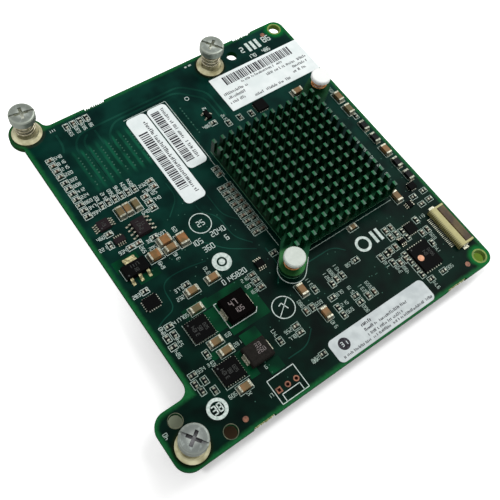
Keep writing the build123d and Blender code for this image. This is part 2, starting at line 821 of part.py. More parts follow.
memory_place = on_board(memory_chip_place_shares)
memory_leads = package_leads(
    memory_chip_size, memory_lead_counts, memory_lead_pitch, memory_lead_reach, memory_lead_width
)
write("memory_chip", memory_place * package(memory_chip_size))
write("memory_chip_leads", *[memory_place * one for one in memory_leads])
narrow_place = on_board(narrow_chip_place_shares)
narrow_leads = package_leads(
    narrow_chip_size, narrow_lead_counts, narrow_lead_pitch, narrow_lead_reach, narrow_lead_width
)
write("narrow_chip", narrow_place * package(narrow_chip_size))
write("narrow_chip_leads", *[narrow_place * one for one in narrow_leads])

linear_place = on_board(linear_place_shares)
linear_leads = package_leads(
    linear_body_size, linear_lead_counts, linear_lead_pitch, linear_lead_reach, linear_lead_width
)
linear_tab = package_leads(
    linear_body_size, linear_tab_counts, linear_lead_pitch, linear_tab_reach, linear_tab_width
)
write("linear_regulator", linear_place * package(linear_body_size))
write("linear_regulator_leads", *[linear_place * one for one in linear_leads + linear_tab])

logic_sizes = (logic_chip_1_size, logic_chip_2_size, logic_chip_3_size, logic_chip_4_size)
logic_lead_counts = (
    logic_chip_1_lead_counts,
    logic_chip_2_lead_counts,
    logic_chip_3_lead_counts,
    logic_chip_4_lead_counts,
)
logic_bodies = []
logic_leads = []
for size, shares, counts in zip(logic_sizes, logic_chip_place_shares, logic_lead_counts):
    place = on_board(shares)
    leads = package_leads(size, counts, logic_lead_pitch, logic_lead_reach, logic_lead_width)
    logic_bodies.append(place * package(size))
    logic_leads += [place * one for one in leads]
write("logic_chips", *logic_bodies)
transistor_place = on_board(transistor_place_shares)
write("transistor", transistor_place * package(transistor_size))
transistor_leads = package_leads(
    transistor_size, transistor_lead_counts, transistor_lead_pitch, transistor_lead_reach, transistor_lead_width
)
logic_leads += [transistor_place * one for one in transistor_leads]
write("logic_chip_leads", *logic_leads)

# Chip parts. Two columns of small ones stand beside the heat sink and follow it.
sink_row_x = sink_middle - sink_span_x / 2 - sink_row_clearance - small_chip_size[0] - small_chip_gaps[0] / 2
sink_row = (sink_row_x / board_width, sink_row_place_share, *sink_row_columns_and_rows, False)
small_capacitor_places = chip_places((*small_capacitor_place_shares, sink_row), small_chip_size, small_chip_gaps)
resistor_places = chip_places(chip_resistor_place_shares, small_chip_size, small_chip_gaps)
large_places = chip_places(large_capacitor_place_shares, large_chip_size, large_chip_gaps)
medium_places = chip_places(medium_capacitor_place_shares, medium_chip_size, medium_chip_gaps)
wide_places = chip_places(wide_capacitor_place_shares, wide_chip_size, wide_chip_gaps)
ferrite_places = chip_places(ferrite_place_shares, ferrite_size, ferrite_gaps)
write("small_capacitors", *[place * block(*small_chip_size) for place in small_capacitor_places])
write("chip_resistors", *[place * block(*small_chip_size) for place in resistor_places])
medium_bodies = chip_bodies(medium_places, medium_chip_size, medium_chip_end)
write("large_capacitors", *chip_bodies(large_places, large_chip_size, large_chip_end), *medium_bodies)
write("wide_capacitors", *chip_bodies(wide_places, wide_chip_size, wide_chip_end))
large_ends = chip_ends(large_places, large_chip_size, large_chip_end)
medium_ends = chip_ends(medium_places, medium_chip_size, medium_chip_end)
wide_ends = chip_ends(wide_places, wide_chip_size, wide_chip_end)
write("large_capacitor_ends", *large_ends, *medium_ends, *wide_ends)
write("ferrite_chips", *chip_bodies(ferrite_places, ferrite_size, ferrite_end))
write("ferrite_chip_ends", *chip_ends(ferrite_places, ferrite_size, ferrite_end))

# Labels
write("serial_label", on_board(serial_label_place_shares) * label(serial_label_size, square_label_radius))
address_place = on_board(address_label_place_shares)
address_shift_x = (address_label_1_size[0] + address_label_2_size[0]) / 2 + address_label_gap
address_shift_y = (address_label_1_size[1] - address_label_2_size[1]) / 2
write("address_label_1", address_place * label(address_label_1_size, round_label_radius))
address_place_2 = address_place * Pos(address_shift_x, address_shift_y)
write("address_label_2", address_place_2 * label(address_label_2_size, round_label_radius))
write("product_label", on_board(product_label_place_shares) * label(product_label_size, round_label_radius))
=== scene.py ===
import json
import bpy
import numpy as np
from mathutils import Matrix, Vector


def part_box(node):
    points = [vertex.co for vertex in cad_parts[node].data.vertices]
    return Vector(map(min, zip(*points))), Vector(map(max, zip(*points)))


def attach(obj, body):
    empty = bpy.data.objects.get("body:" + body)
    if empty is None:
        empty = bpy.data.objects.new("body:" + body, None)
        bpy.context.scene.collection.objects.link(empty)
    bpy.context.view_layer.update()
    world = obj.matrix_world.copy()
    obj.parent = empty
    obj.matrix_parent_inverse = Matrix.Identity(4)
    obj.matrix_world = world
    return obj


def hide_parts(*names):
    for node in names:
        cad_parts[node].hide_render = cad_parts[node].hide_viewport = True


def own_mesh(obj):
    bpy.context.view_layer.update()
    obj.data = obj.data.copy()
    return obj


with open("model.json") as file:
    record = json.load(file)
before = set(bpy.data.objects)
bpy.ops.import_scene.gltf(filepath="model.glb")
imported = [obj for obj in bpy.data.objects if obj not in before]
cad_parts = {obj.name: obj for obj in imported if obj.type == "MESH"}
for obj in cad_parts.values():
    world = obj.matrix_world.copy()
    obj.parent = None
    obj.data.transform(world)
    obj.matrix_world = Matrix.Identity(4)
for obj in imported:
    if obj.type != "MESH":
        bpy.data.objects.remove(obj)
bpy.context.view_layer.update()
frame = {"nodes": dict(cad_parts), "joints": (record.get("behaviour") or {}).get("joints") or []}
nodes = frame["nodes"]

# Camera. It looks down on the card from beyond its near left corner, at the photograph's angle.
camera_place = (-0.065508, -0.068634, 0.164877)
camera_turn_degrees = (26.789, -6.319, -35.899)
camera_lens = 49.77
camera_near_limit = 0.01
camera = bpy.data.objects.new("camera", bpy.data.cameras.new("camera"))
camera.location = camera_place
camera.rotation_euler = np.radians(camera_turn_degrees)
camera.data.lens = camera_lens
camera.data.clip_start = camera_near_limit
bpy.context.scene.collection.objects.link(camera)
bpy.context.scene.camera = camera
bpy.context.scene.view_settings.view_transform = "Standard"


# Floor and light. The card lies on a white sweep under a soft tent, with one lamp to its right. The floor
# is lifted towards white where the camera sees it. This glow is painted light and shade: it is lower
# towards the near side, which keeps the card's shadow there, higher towards the far side, which washes the
# shadow out, and a little higher in front of the near edge. Seen steeply, a painted shadow darkens a strip
# below the near edge, and painted shade and light stand for the floor seen through the holes. From below
# it can't be seen. Its places are in metres.
class Signal:
    """One output of a node. Sums, products and comparisons of signals become Math nodes."""

    def __init__(self, finish, socket):
        self.finish = finish
        self.socket = socket

    def math(self, operation, *others):
        values = dict(enumerate((self, *others)))
        return self.finish.node("ShaderNodeMath", {"operation": operation}, values)

    def __add__(self, other):
        return self.math("ADD", other)

    def __sub__(self, other):
        return self.math("SUBTRACT", other)

    def __rsub__(self, other):
        return self.math("MULTIPLY_ADD", -1.0, other)

    def __mul__(self, other):
        return self.math("MULTIPLY", other)

    def __gt__(self, other):
        return self.math("GREATER_THAN", other)

    def __lt__(self, other):
        return self.math("LESS_THAN", other)

    def least(self, other):
        return self.math("MINIMUM", other)

    def most(self, other):
        return self.math("MAXIMUM", other)

    def size(self):
        return self.math("ABSOLUTE")

    def root(self):
        return self.math("SQRT")

    def sine(self):
        return self.math("SINE")

    __radd__ = __add__
    __rmul__ = __mul__


class Finish:
    """The node tree of a surface or of the world, with its main shader."""

    def __init__(self, tree, shader):
        self.tree = tree
        self.shader = shader

    def put(self, sockets, node):
        """Sets a node's inputs, by name or number, to values or links."""
        for key, value in sockets.items():
            if isinstance(value, Signal):
                self.tree.links.new(value.socket, node.inputs[key])
            else:
                node.inputs[key].default_value = value

    def node(self, kind, settings, sockets, output=0):
        """Adds a node with its settings and its inputs, and returns one of its outputs."""
        node = self.tree.nodes.new(kind)
        for key, value in settings.items():
            setattr(node, key, value)
        self.put(sockets, node)
        return Signal(self, node.outputs[output])

    def set(self, sockets):
        self.put(sockets, self.shader)

    def blend(self, share, first, second):
        """Colour that goes from the first to the second as the share goes from 0 to 1."""
        return self.node("ShaderNodeMix", {"data_type": "RGBA"}, {0: share, 6: first, 7: second}, 2)

    def place(self):
        """The point on the object, in metres."""
        return self.node("ShaderNodeTexCoord", {}, {}, "Object")

    def axes(self, place):
        """The x, y and z of a point as three signals."""
        return [self.node("ShaderNodeSeparateXYZ", {}, {0: place}, axis) for axis in range(3)]

    def noise(self, grain, detail=2.0, place=None):
        """Noise from 0 to 1 with a grain in metres."""
        sockets = {"Vector": place or self.place(), "Scale": 1.0 / grain, "Detail": detail}
        return self.node("ShaderNodeTexNoise", {}, sockets, "Fac")

    def smooth(self, signal, low, high):
        """0 below the low value and 1 above the high one, with a soft rise between them."""
        sockets = {"Value": signal, "From Min": low, "From Max": high}
        return self.node("ShaderNodeMapRange", {"interpolation_type": "SMOOTHSTEP"}, sockets)

    def bump(self, height, depth):
        """Relief whose full height is the depth in metres."""
        sockets = {"Height": height, "Strength": 1.0, "Distance": depth}
        self.set({"Normal": self.node("ShaderNodeBump", {}, sockets)})


def surface(name, sockets):
    """New material whose main shader has the given inputs."""
    material = bpy.data.materials.new(name)
    material.use_nodes = True
    finish = Finish(material.node_tree, material.node_tree.nodes["Principled BSDF"])
    finish.material = material
    finish.set(sockets)
    return finish


def seen(red, green, blue):
    """Linear colour for the 0 to 255 values that a screen shows: each share of 255 to the power 2.2."""
    return (*((value / 255) ** 2.2 for value in (red, green, blue)), 1.0)


def finished(name, vertices, faces, finish):
    """New mesh object at the origin with its finish."""
    mesh = bpy.data.meshes.new(name)
    mesh.from_pydata(np.asarray(vertices).tolist(), [], faces)
    mesh.validate()
    piece = bpy.data.objects.new(name, mesh)
    bpy.context.scene.collection.objects.link(piece)
    mesh.materials.append(finish.material)
    return piece


def distance_from(x, y, centre):
    """Distance of a point from a centre in the plane."""
    run_x = x - centre[0]
    run_y = y - centre[1]
    return (run_x * run_x + run_y * run_y).root()


def lies_in_plate(x, y, low, high, rounding):
    """How far a point lies inside a rounded rectangle: minus its signed distance."""
    reach_x = (x - (low[0] + high[0]) / 2).size() - ((high[0] - low[0]) / 2 - rounding)
    reach_y = (y - (low[1] + high[1]) / 2).size() - ((high[1] - low[1]) / 2 - rounding)
    past_x = reach_x.most(0.0)
    past_y = reach_y.most(0.0)
    return rounding - (past_x * past_x + past_y * past_y).root() - reach_x.most(reach_y).least(0.0)


def grey(level):
    """Linear grey of a level from 0 to 1."""
    return (level, level, level, 1.0)


floor_reach = 1.5
floor_colour = grey(0.84)
near_lift = grey(0.46)
far_lift = grey(0.85)
front_lift = grey(0.54)
# Glow in the painted shadow strip below the near edge.
painted_shadow_lift = grey(0.19)
lift_rise = (-0.025, 0.01)
front_limit = (-0.0532, -0.0515)
front_left = (-0.035, -0.025)
edge_low = (-0.044, -0.0523)
edge_high = (0.05, -0.048)
edge_rounding = 0.001
edge_softness = (-0.0009, 0.0006)
steep_look = (0.68, 0.76)
header_spot_y = -0.0466
# Painted shade and light under the holes: spots of colour without glow, seen steeply, that stand for the
# floor seen through the holes.
painted_hole_shade = [
    (-0.0431, -0.0385, 0.0018, 0.0028, seen(168, 176, 150)),
    (-0.0336, -0.0481, 0.0018, 0.0028, seen(92, 74, 56)),
    (0.0509, -0.048, 0.0014, 0.0022, seen(104, 132, 48)),
    *((x, header_spot_y, 0.001, 0.002, seen(70, 34, 28)) for x in (-0.0175, -0.0152, -0.0129)),
]
floor_finish = surface("floor", {"Roughness": 0.9, "Specular IOR Level": 0.1, "Emission Strength": 1.0})
floor_seen = floor_finish.node("ShaderNodeLightPath", {}, {}, "Is Camera Ray")
floor_x, floor_y, _ = floor_finish.axes(floor_finish.place())
floor_look = floor_finish.node("ShaderNodeNewGeometry", {}, {}, "Incoming")
steepness = floor_finish.smooth(floor_finish.axes(floor_look)[2], *steep_look)
from_below = floor_finish.node("ShaderNodeNewGeometry", {}, {}, "Backfacing")
floor_shade = floor_colour
open_floor = 1.0
# Paints the spots of shade and light under the holes, and takes the glow away there.
for spot_x, spot_y, full_reach, soft_reach, colour in painted_hole_shade:
    from_spot = distance_from(floor_x, floor_y, (spot_x, spot_y))
    beyond = 1.0 - steepness * (1.0 - floor_finish.smooth(from_spot, full_reach, soft_reach))
    floor_shade = floor_finish.blend(beyond, colour, floor_shade)
    open_floor = beyond * open_floor
floor_finish.set({"Base Color": floor_shade, "Alpha": 1.0 - from_below})
# Painted light and shade: the floor's glow is lower towards the near side, which keeps the card's shadow,
# higher towards the far side, which washes it out, and a little higher in front of the near edge.
floor_glow = floor_finish.blend(floor_finish.smooth(floor_y, *lift_rise), near_lift, far_lift)
in_front = 1.0 - floor_finish.smooth(floor_y, *front_limit)
in_front = in_front * floor_finish.smooth(floor_x, *front_left)
floor_glow = floor_finish.blend(in_front, floor_glow, front_lift)
# Painted shadow: seen steeply, a strip of floor along the card's near edge glows much less.
in_edge = lies_in_plate(floor_x, floor_y, edge_low, edge_high, edge_rounding)
painted_shadow_share = floor_finish.smooth(in_edge, *edge_softness) * steepness
floor_glow = floor_finish.blend(painted_shadow_share, floor_glow, painted_shadow_lift)
floor_finish.set({"Emission Color": floor_finish.blend(floor_seen * open_floor, grey(0.0), floor_glow)})
floor_corners = floor_reach * np.array([(-1, -1, 0), (1, -1, 0), (1, 1, 0), (-1, 1, 0)])
finished("floor", floor_corners, [(0, 1, 2, 3)], floor_finish)

tent_strength = 0.62
world = bpy.data.worlds.new("tent")
world.use_nodes = True
bpy.context.scene.world = world
tent = Finish(world.node_tree, world.node_tree.nodes["Background"])
straight = tent.node("ShaderNodeLightPath", {}, {}, "Is Camera Ray")
mirrored = tent.node("ShaderNodeLightPath", {}, {}, "Is Glossy Ray")
through = tent.node("ShaderNodeLightPath", {}, {}, "Is Transmission Ray")
shown = straight.most(mirrored).most(through)
tent.set({"Color": tent.blend(shown, grey(tent_strength), grey(1.0)), "Strength": 1.0})

lamp_place = (0.28, 0.05, 0.42)
lamp_size = 0.26
lamp_watts = 1.15
lamp = bpy.data.objects.new("side_lamp", bpy.data.lights.new("side_lamp", "AREA"))
lamp.data.energy = lamp_watts
lamp.data.size = lamp_size
lamp.location = lamp_place
lamp.rotation_euler = lamp.location.to_track_quat("Z", "Y").to_euler()
bpy.context.scene.collection.objects.link(lamp)


# Circuit board. Glass laminate under a dark green mask, which is brighter where no copper lies below
# it: along the edges and round the corner holes. The cut edges and the hole walls show the laminate.
mm = 0.001
board_width = 87.2
board_depth = 98.1
board_low, board_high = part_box("circuit_board")
board_corner = np.array((board_high.x - board_width * mm, board_low.y, board_high.z))
board_thickness = (board_high.z - board_low.z) / mm
ear_length = 11.6
ear_depth = 15.1
ear_rounding = 4.0
board_rounding = 3.0
screws = [(3.0, 98.49), (58.77, 93.0), (-6.296, 4.905)]
lobe_radius = 4.9
corner_holes = [(84.1, 2.9), (84.1, 95.2)]
corner_hole_radius = 1.65
tab_places = [(23.02, 6.2), (73.6, 6.6), (10.51, 6.2), (73.16, 6.6)]
mask_near = (seen(1, 20, 17), seen(7, 38, 30))
mask_far = (seen(6, 36, 33), seen(15, 56, 48))
mask_edge = (seen(12, 78, 40), seen(38, 106, 62))
mask_corner = seen(12, 104, 48)
field_stripe = seen(24, 86, 64)
lobe_brown = seen(94, 72, 46)
painted_ferrule_shadow = seen(24, 34, 18)
laminate_side = seen(16, 66, 34)
laminate_bore = seen(104, 128, 56)
header_bore = seen(96, 40, 28)
uneven_grain = 1.5
patch_grain = 7
weave_grain = 0.5
bare_rim = (0.5, 1.9)
far_rise = (12.0, 75.0)
column_pitch = 2.3
column_start = 10.65
field_low = (9.0, 72.5)
field_high = (33.0, 87.5)
field_rounding = 1.5
field_edge = (-0.5, 2.5)
broken_grain = 3.4
lobe_rim = (4.7, 5.1)
ferrule_rim = (4.3, 5.3)
corner_rim = (2.6, 4.4)
header_low = (16.9, 3.5)
header_high = (23.3, 4.8)
header_rounding = 0.2
face_skin = 0.03
bore_skin = 0.1

board_finish = surface("solder_mask", {"Roughness": 0.4, "Specular IOR Level": 0.03})


def board_axes(finish):
    """The x, y and z of a point in the board's own millimetres, as three signals."""
    from_corner = {0: finish.place(), "Location": tuple(board_corner), "Scale": (mm, mm, mm)}
    return finish.axes(finish.node("ShaderNodeMapping", {"vector_type": "TEXTURE"}, from_corner))


def dress(finish, *names):
    """Gives nodes of the CAD model their finish."""
    for name in names:
        nodes[name].material_slots[0].material = finish.material


board_x, board_y, board_z = board_axes(board_finish)
inside = lies_in_plate(board_x, board_y, (0.0, 0.0), (board_width, board_depth), board_rounding)
ear_inside = lies_in_plate(board_x, board_y, (-ear_length, 0.0), (2 * ear_length, ear_depth), ear_rounding)
lobe_inside = lobe_radius - distance_from(board_x, board_y, screws[0])
inside = inside.most(ear_inside).most(lobe_inside)
uneven = board_finish.noise(uneven_grain * mm)
bare = 1.0 - board_finish.smooth(inside + uneven * 0.7, *bare_rim)
patches = board_finish.smooth(board_finish.noise(patch_grain * mm), 0.3, 0.7)
weave = board_finish.noise(weave_grain * mm)
# The mask is darker towards the near edge and lighter towards the far one.
far_share = board_finish.smooth(board_y, *far_rise)
dark_patch = board_finish.blend(far_share, mask_near[0], mask_far[0])
light_patch = board_finish.blend(far_share, mask_near[1], mask_far[1])
mask_colour = board_finish.blend(patches, dark_patch, light_patch)
wave = ((board_x - column_start + column_pitch / 2) * (2 * np.pi / column_pitch)).sine()
in_field = lies_in_plate(board_x, board_y, field_low, field_high, field_rounding)
in_field = board_finish.smooth(in_field, *field_edge)
broken = board_finish.smooth(board_finish.noise(broken_grain * mm, 1.0), 0.2, 0.6)
stripes = board_finish.smooth(wave + uneven * 0.6, 0.2, 1.3) * broken
stripe_share = (stripes * 0.8 + 0.2) * in_field
mask_colour = board_finish.blend(stripe_share, mask_colour, field_stripe)
mask_colour = board_finish.blend(bare, mask_colour, board_finish.blend(weave, *mask_edge))
from_screws = [distance_from(board_x, board_y, place) for place in screws]
lobe_share = 1.0 - board_finish.smooth(from_screws[0] + uneven * 0.3, *lobe_rim)
mask_colour = board_finish.blend(lobe_share * 0.12, mask_colour, lobe_brown)
# Painted shadow: a dark olive ring on the mask round the ferrules of the second and third screws.
ferrule_shadow_share = 1.0 - board_finish.smooth(from_screws[1].least(from_screws[2]) + uneven * 0.4, *ferrule_rim)
mask_colour = board_finish.blend(ferrule_shadow_share * 0.9, mask_colour, painted_ferrule_shadow)
from_corners = [distance_from(board_x, board_y, hole) for hole in corner_holes]
from_corner = from_corners[0].least(from_corners[1])
near_corner = 1.0 - board_finish.smooth(from_corner + uneven, *corner_rim)
mask_colour = board_finish.blend(near_corner, mask_colour, mask_corner)
corner_bore = from_corner < corner_hole_radius + bore_skin
header_share = lies_in_plate(board_x, board_y, header_low, header_high, header_rounding) > 0.0
on_face = (board_z + board_thickness / 2).size() > board_thickness / 2 - face_skin
wall_colour = board_finish.blend(corner_bore, laminate_side, laminate_bore)
wall_colour = board_finish.blend(header_share, wall_colour, header_bore)
wall_colour = board_finish.blend(lobe_share, wall_colour, lobe_brown)
board_finish.set({"Base Color": board_finish.blend(on_face, wall_colour, mask_colour)})
board_finish.set({"Roughness": 0.65 - on_face * 0.25})
board_finish.bump(weave, 0.01 * mm)
dress(board_finish, "circuit_board")


# Copper under the mask: wide pours round the power parts, and signal runs that fan out from the host
# connector. It stands a little above the laminate, and the mask over it is a lighter green.
def place_on_board(points):
    """Points in the board's own millimetres, moved to the frame."""
    return np.asarray(points, float) * mm + board_corner


def on_board(points):
    """Points of the frame, moved to the board's own millimetres."""
    return (np.asarray(points) - board_corner) / mm


def flat_prisms(name, groups, low, high, finish):
    """Straight prisms on the board between two heights. Each group is an array of outlines by corners
    by two, all anticlockwise; a prism has its outline at both heights and one wall for each side."""
    points = []
    faces = []
    start = 0
    for outlines in groups:
        count, corners, _ = outlines.shape
        both = np.repeat(outlines[:, None], 2, axis=1)
        heights = np.broadcast_to(np.array([low, high])[None, :, None, None], (count, 2, corners, 1))
        points.append(np.concatenate([both, heights], axis=3).reshape(-1, 3))
        index = start + np.arange(count * 2 * corners).reshape(count, 2, corners)
        ahead = np.roll(index, -1, axis=2)
        walls = np.stack([index[:, 0], ahead[:, 0], ahead[:, 1], index[:, 1]], axis=2).reshape(-1, 4)
        faces += index[:, 0, ::-1].tolist() + index[:, 1].tolist() + walls.tolist()
        start += count * 2 * corners
    piece = finished(name, place_on_board(np.concatenate(points)), faces, finish)
    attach(piece, "card")
    return piece


def bars(rows):
    """Outlines of straight bars from rows of start, end and width. Its corners lie half the width to
    either side of the line from start to end."""
    rows = np.asarray(rows, float)
    start, end, width = rows[:, 0:2], rows[:, 2:4], rows[:, 4:5]
    along = (end - start) / np.linalg.norm(end - start, axis=1, keepdims=True)
    side = np.stack([-along[:, 1], along[:, 0]], axis=1) * width / 2
    return np.stack([start - side, end - side, end + side, start + side], axis=1)


def discs(centres, radius, sides=12):
    """Regular outlines round centres: corner k lies at the angle 2 pi k / sides."""
    angle = 2 * np.pi * np.arange(sides) / sides
    return np.asarray(centres, float)[:, None] + radius * np.stack([np.cos(angle), np.sin(angle)], axis=1)


def arc(centre, radius, width, start=0, end=360, steps=48):
    """Outlines of the short sectors that make a ring or a part of one, from angles in degrees."""
    angle = np.radians(np.linspace(start, end, steps + 1))
    unit = np.stack([np.cos(angle), np.sin(angle)], axis=1)
    inner = np.array(centre) + (radius - width / 2) * unit
    outer = np.array(centre) + (radius + width / 2) * unit
    return np.stack([inner[:-1], outer[:-1], outer[1:], inner[1:]], axis=1)


def path_bars(points, width):
    """Bars along a path of points, one for each step that has a length."""
    points = np.asarray(points, float)
    rows = np.hstack([points[:-1], points[1:], np.full((len(points) - 1, 1), width)])
    return bars(rows[np.abs(rows[:, :2] - rows[:, 2:4]).max(axis=1) > 0.001])


def plates(rows):
    """Outlines of upright rectangles from rows of low x, low y, high x and high y."""
    rows = np.asarray(rows, float)
    return rows[:, [0, 1, 2, 1, 2, 3, 0, 3]].reshape(-1, 4, 2)


pour_colour = seen(3, 66, 40)
pour_dull_colour = seen(4, 46, 32)
pour_finish = surface("mask_over_copper", {"Roughness": 0.4, "Specular IOR Level": 0.03})
pour_tone = pour_finish.smooth(pour_finish.noise(5 * mm, 1.0), 0.35, 0.65)
pour_finish.set({"Base Color": pour_finish.blend(pour_tone, pour_dull_colour, pour_colour)})
pour_finish.bump(pour_finish.noise(weave_grain * mm), 0.01 * mm)
sunk = -0.02
pour_top = 0.02
run_top = 0.018
wide_run = 0.6
thin_run = 0.3
pours = [
    (16.5, 21.0, 27.7, 32.6),
    (13.4, 23.6, 16.5, 29.9),
    (9.2, 30.3, 16.5, 33.1),
    (17.3, 17.3, 22.2, 20.3),
    (13.7, 9.8, 16.3, 17.2),
    (18.4, 8.0, 22.4, 11.2),
    (8.8, 18.4, 13.4, 20.4),
    (1.7, 49.6, 8.6, 53.2),
    (5.0, 44.3, 11.0, 46.6),
]
flat_prisms("copper_pours", [plates(pours)], sunk, pour_top, pour_finish)

run_finish = surface("mask_over_runs", {"Roughness": 0.4, "Specular IOR Level": 0.04})
run_tone = run_finish.smooth(run_finish.noise(7 * mm, 1.0), 0.35, 0.65)
run_finish.set({"Base Color": run_finish.blend(run_tone, seen(8, 50, 42), seen(24, 72, 60))})
run_finish.bump(run_finish.noise(0.4 * mm), 0.008 * mm)


def bent(points, bend=2.2, steps=6):
    """Path whose inner corners are rounded. Round a corner it follows the parabola with weights
    (1 - t) squared, 2 t (1 - t) and t squared of a point before the corner, the corner and one after."""
    points = np.asarray(points, float)
    share = np.linspace(0, 1, steps)[:, None]
    path = [points[:1]]
    for before, corner, after in zip(points[:-2], points[1:-1], points[2:]):
        back, on = before - corner, after - corner
        start = corner + back * min(bend / np.linalg.norm(back), 0.5)
        end = corner + on * min(bend / np.linalg.norm(on), 0.5)
        path.append((1 - share) ** 2 * start + 2 * share * (1 - share) * corner + share**2 * end)
    path.append(points[-1:])
    return np.concatenate(path)


wide_runs = [
    [(11.7, 75.0), (11.7, 88.4), (14.6, 91.4), (46.6, 91.4), (52.6, 85.6), (52.6, 76.0)],
    [(14.2, 76.0), (14.2, 88.4), (16.4, 90.2)],
    [(18.8, 85.0), (18.8, 90.4)],
    [(20.9, 84.0), (21.2, 86.8), (24.4, 90.1), (44.6, 90.1), (50.9, 84.0), (50.9, 76.5)],
    [(9.2, 94.2), (9.2, 90.4), (8.2, 88.0)],
]
thin_runs = [
    [(2.6, 32.7), (4.6, 33.7), (8.6, 34.6), (8.9, 40.8), (11.2, 42.4), (16.4, 42.3), (22.0, 41.2)],
    [(28.9, 56.0), (28.9, 53.6), (32.0, 50.4), (32.0, 43.0), (35.2, 39.0)],
    [(33.2, 57.0), (33.2, 50.0), (36.0, 46.6)],
    [(24.4, 46.0), (28.6, 41.0), (35.0, 37.0)],
    [(21.2, 56.6), (26.0, 60.8), (26.0, 66.0)],
    [(42.8, 76.0), (42.8, 85.0)],
    [(13.9, 74.6), (13.9, 85.2)],
    [(33.6, 26.0), (37.0, 30.0), (37.0, 36.0)],
    [(44.0, 26.6), (52.0, 26.6), (54.4, 24.0)],
    [(24.0, 9.0), (30.0, 9.0), (33.4, 12.0)],
    [(60.0, 14.4), (64.6, 14.4), (68.0, 11.4)],
]
runs = [path_bars(bent(path), wide_run) for path in wide_runs]
runs += [path_bars(bent(path), thin_run) for path in thin_runs]
flat_prisms("copper_runs", runs, sunk, run_top, run_finish)


# Via rings. Plated holes under the mask, in columns over the host connector's contacts and scattered
# over the planes.
via_finish = surface("via_rings", {"Roughness": 0.45, "Specular IOR Level": 0.1})
via_tone = via_finish.noise(2.5 * mm)
via_finish.set({"Base Color": via_finish.blend(via_tone, seen(26, 62, 52), seen(72, 116, 100))})
via_radius = 0.22
via_top = 0.022
via_sides = 8
via_column_count = 15
via_rows = (75.0, 76.0, 78.0, 79.0, 80.5, 81.5, 82.5, 83.5, 84.6)
loose_count = 190
loose_radius = 0.15
loose_low = (9.0, 4.0)
loose_high = (84.0, 60.0)
via_columns = column_start + column_pitch * np.arange(via_column_count)
via_places = np.stack(np.meshgrid(via_columns, via_rows), axis=2).reshape(-1, 2)
scatter = np.random.default_rng(7)
loose_vias = scatter.uniform(loose_low, loose_high, (loose_count, 2))
via_discs = [discs(via_places, via_radius, via_sides), discs(loose_vias, loose_radius, via_sides)]
flat_prisms("via_rings", via_discs, sunk, via_top, via_finish)


# Bare copper and laminate. Copper shows as three round marks that the placing machine looks for and as
# the pads of the unused header. Laminate shows as rings round the corner holes, and the holes at the
# left have worn rims.
far_left_rise = (15.0, 35.0)


def mottled(name, sockets, first, second, grain, relief, detail=2.0, far_left=None):
    """New finish whose colour wanders between two with a grain, over a relief of the same grain. It can
    have two other colours in the far left part of the board."""
    finish = surface(name, sockets)
    tone = finish.noise(grain * mm, detail)
    share = finish.smooth(tone, 0.3, 0.7)
    colour = finish.blend(share, first, second)
    if far_left:
        x, y, _ = board_axes(finish)
        far_colour = finish.blend(share, *far_left)
        colour = finish.blend(finish.smooth(y - x, *far_left_rise), colour, far_colour)
    finish.set({"Base Color": colour})
    finish.bump(tone, relief * mm)
    return finish


copper_sockets = {"Metallic": 0.2, "Roughness": 0.5}
copper_finish = mottled("bare_copper", copper_sockets, seen(92, 56, 40), seen(142, 90, 64), 0.8, 0.02)
clear_sockets = {"Roughness": 0.6}
clear_finish = mottled("bare_laminate", clear_sockets, seen(96, 116, 44), seen(132, 152, 64), 0.8, 0.02)
rim_finish = mottled("hole_rims", clear_sockets, seen(58, 70, 48), seen(112, 114, 88), 1.4, 0.02)
copper_top = 0.03
ring_top = 0.024
mark_places = [(7.1, 3.1), (79.6, 2.9), (79.6, 95.1)]
mark_radius = 0.72
header_places = [(20.125, 4.15), (22.665, 4.15)]
header_pad_radius = 0.6
header_pad_width = 0.32
corner_ring_radius = 1.9
corner_ring_width = 0.44
hole_places = [(-6.296, 11.805), (2.7, 2.7)]
hole_rim_radius = 1.76
hole_rim_width = 0.16
square_pad = [
    (16.85, 3.42, 17.2, 4.88),
    (17.97, 3.42, 18.32, 4.88),
    (17.2, 3.42, 17.97, 3.75),
    (17.2, 4.55, 17.97, 4.88),
]
header_rings = [arc(place, header_pad_radius, header_pad_width, steps=24) for place in header_places]
copper_parts = [discs(mark_places, mark_radius, 24), *header_rings, plates(square_pad)]
flat_prisms("bare_copper", copper_parts, sunk, copper_top, copper_finish)
corner_rings = [arc(place, corner_ring_radius, corner_ring_width) for place in corner_holes]
flat_prisms("corner_rings", corner_rings, sunk, ring_top, clear_finish)
hole_rims = [arc(place, hole_rim_radius, hole_rim_width) for place in hole_places]
flat_prisms("hole_rims", hole_rims, sunk, ring_top, rim_finish)

# Teeth left in the four steps of the outline where the panel's tabs were snapped off.
tooth_sockets = {"Roughness": 0.8, "Specular IOR Level": 0.1}
glass_finish = mottled("snapped_glass", tooth_sockets, seen(96, 112, 52), seen(206, 206, 158), 0.7, 0.1)
torn_finish = mottled("snapped_mask", tooth_sockets, seen(20, 70, 44), seen(96, 128, 92), 0.7, 0.1)
chips_off = np.random.default_rng(5)
tooth_pitch = 0.62
tooth_margin = 0.5
tooth_root = 0.05
tooth_low = -1.4
tooth_high = -0.08
far_step_depth = 0.7
near_step_depth = 0.35


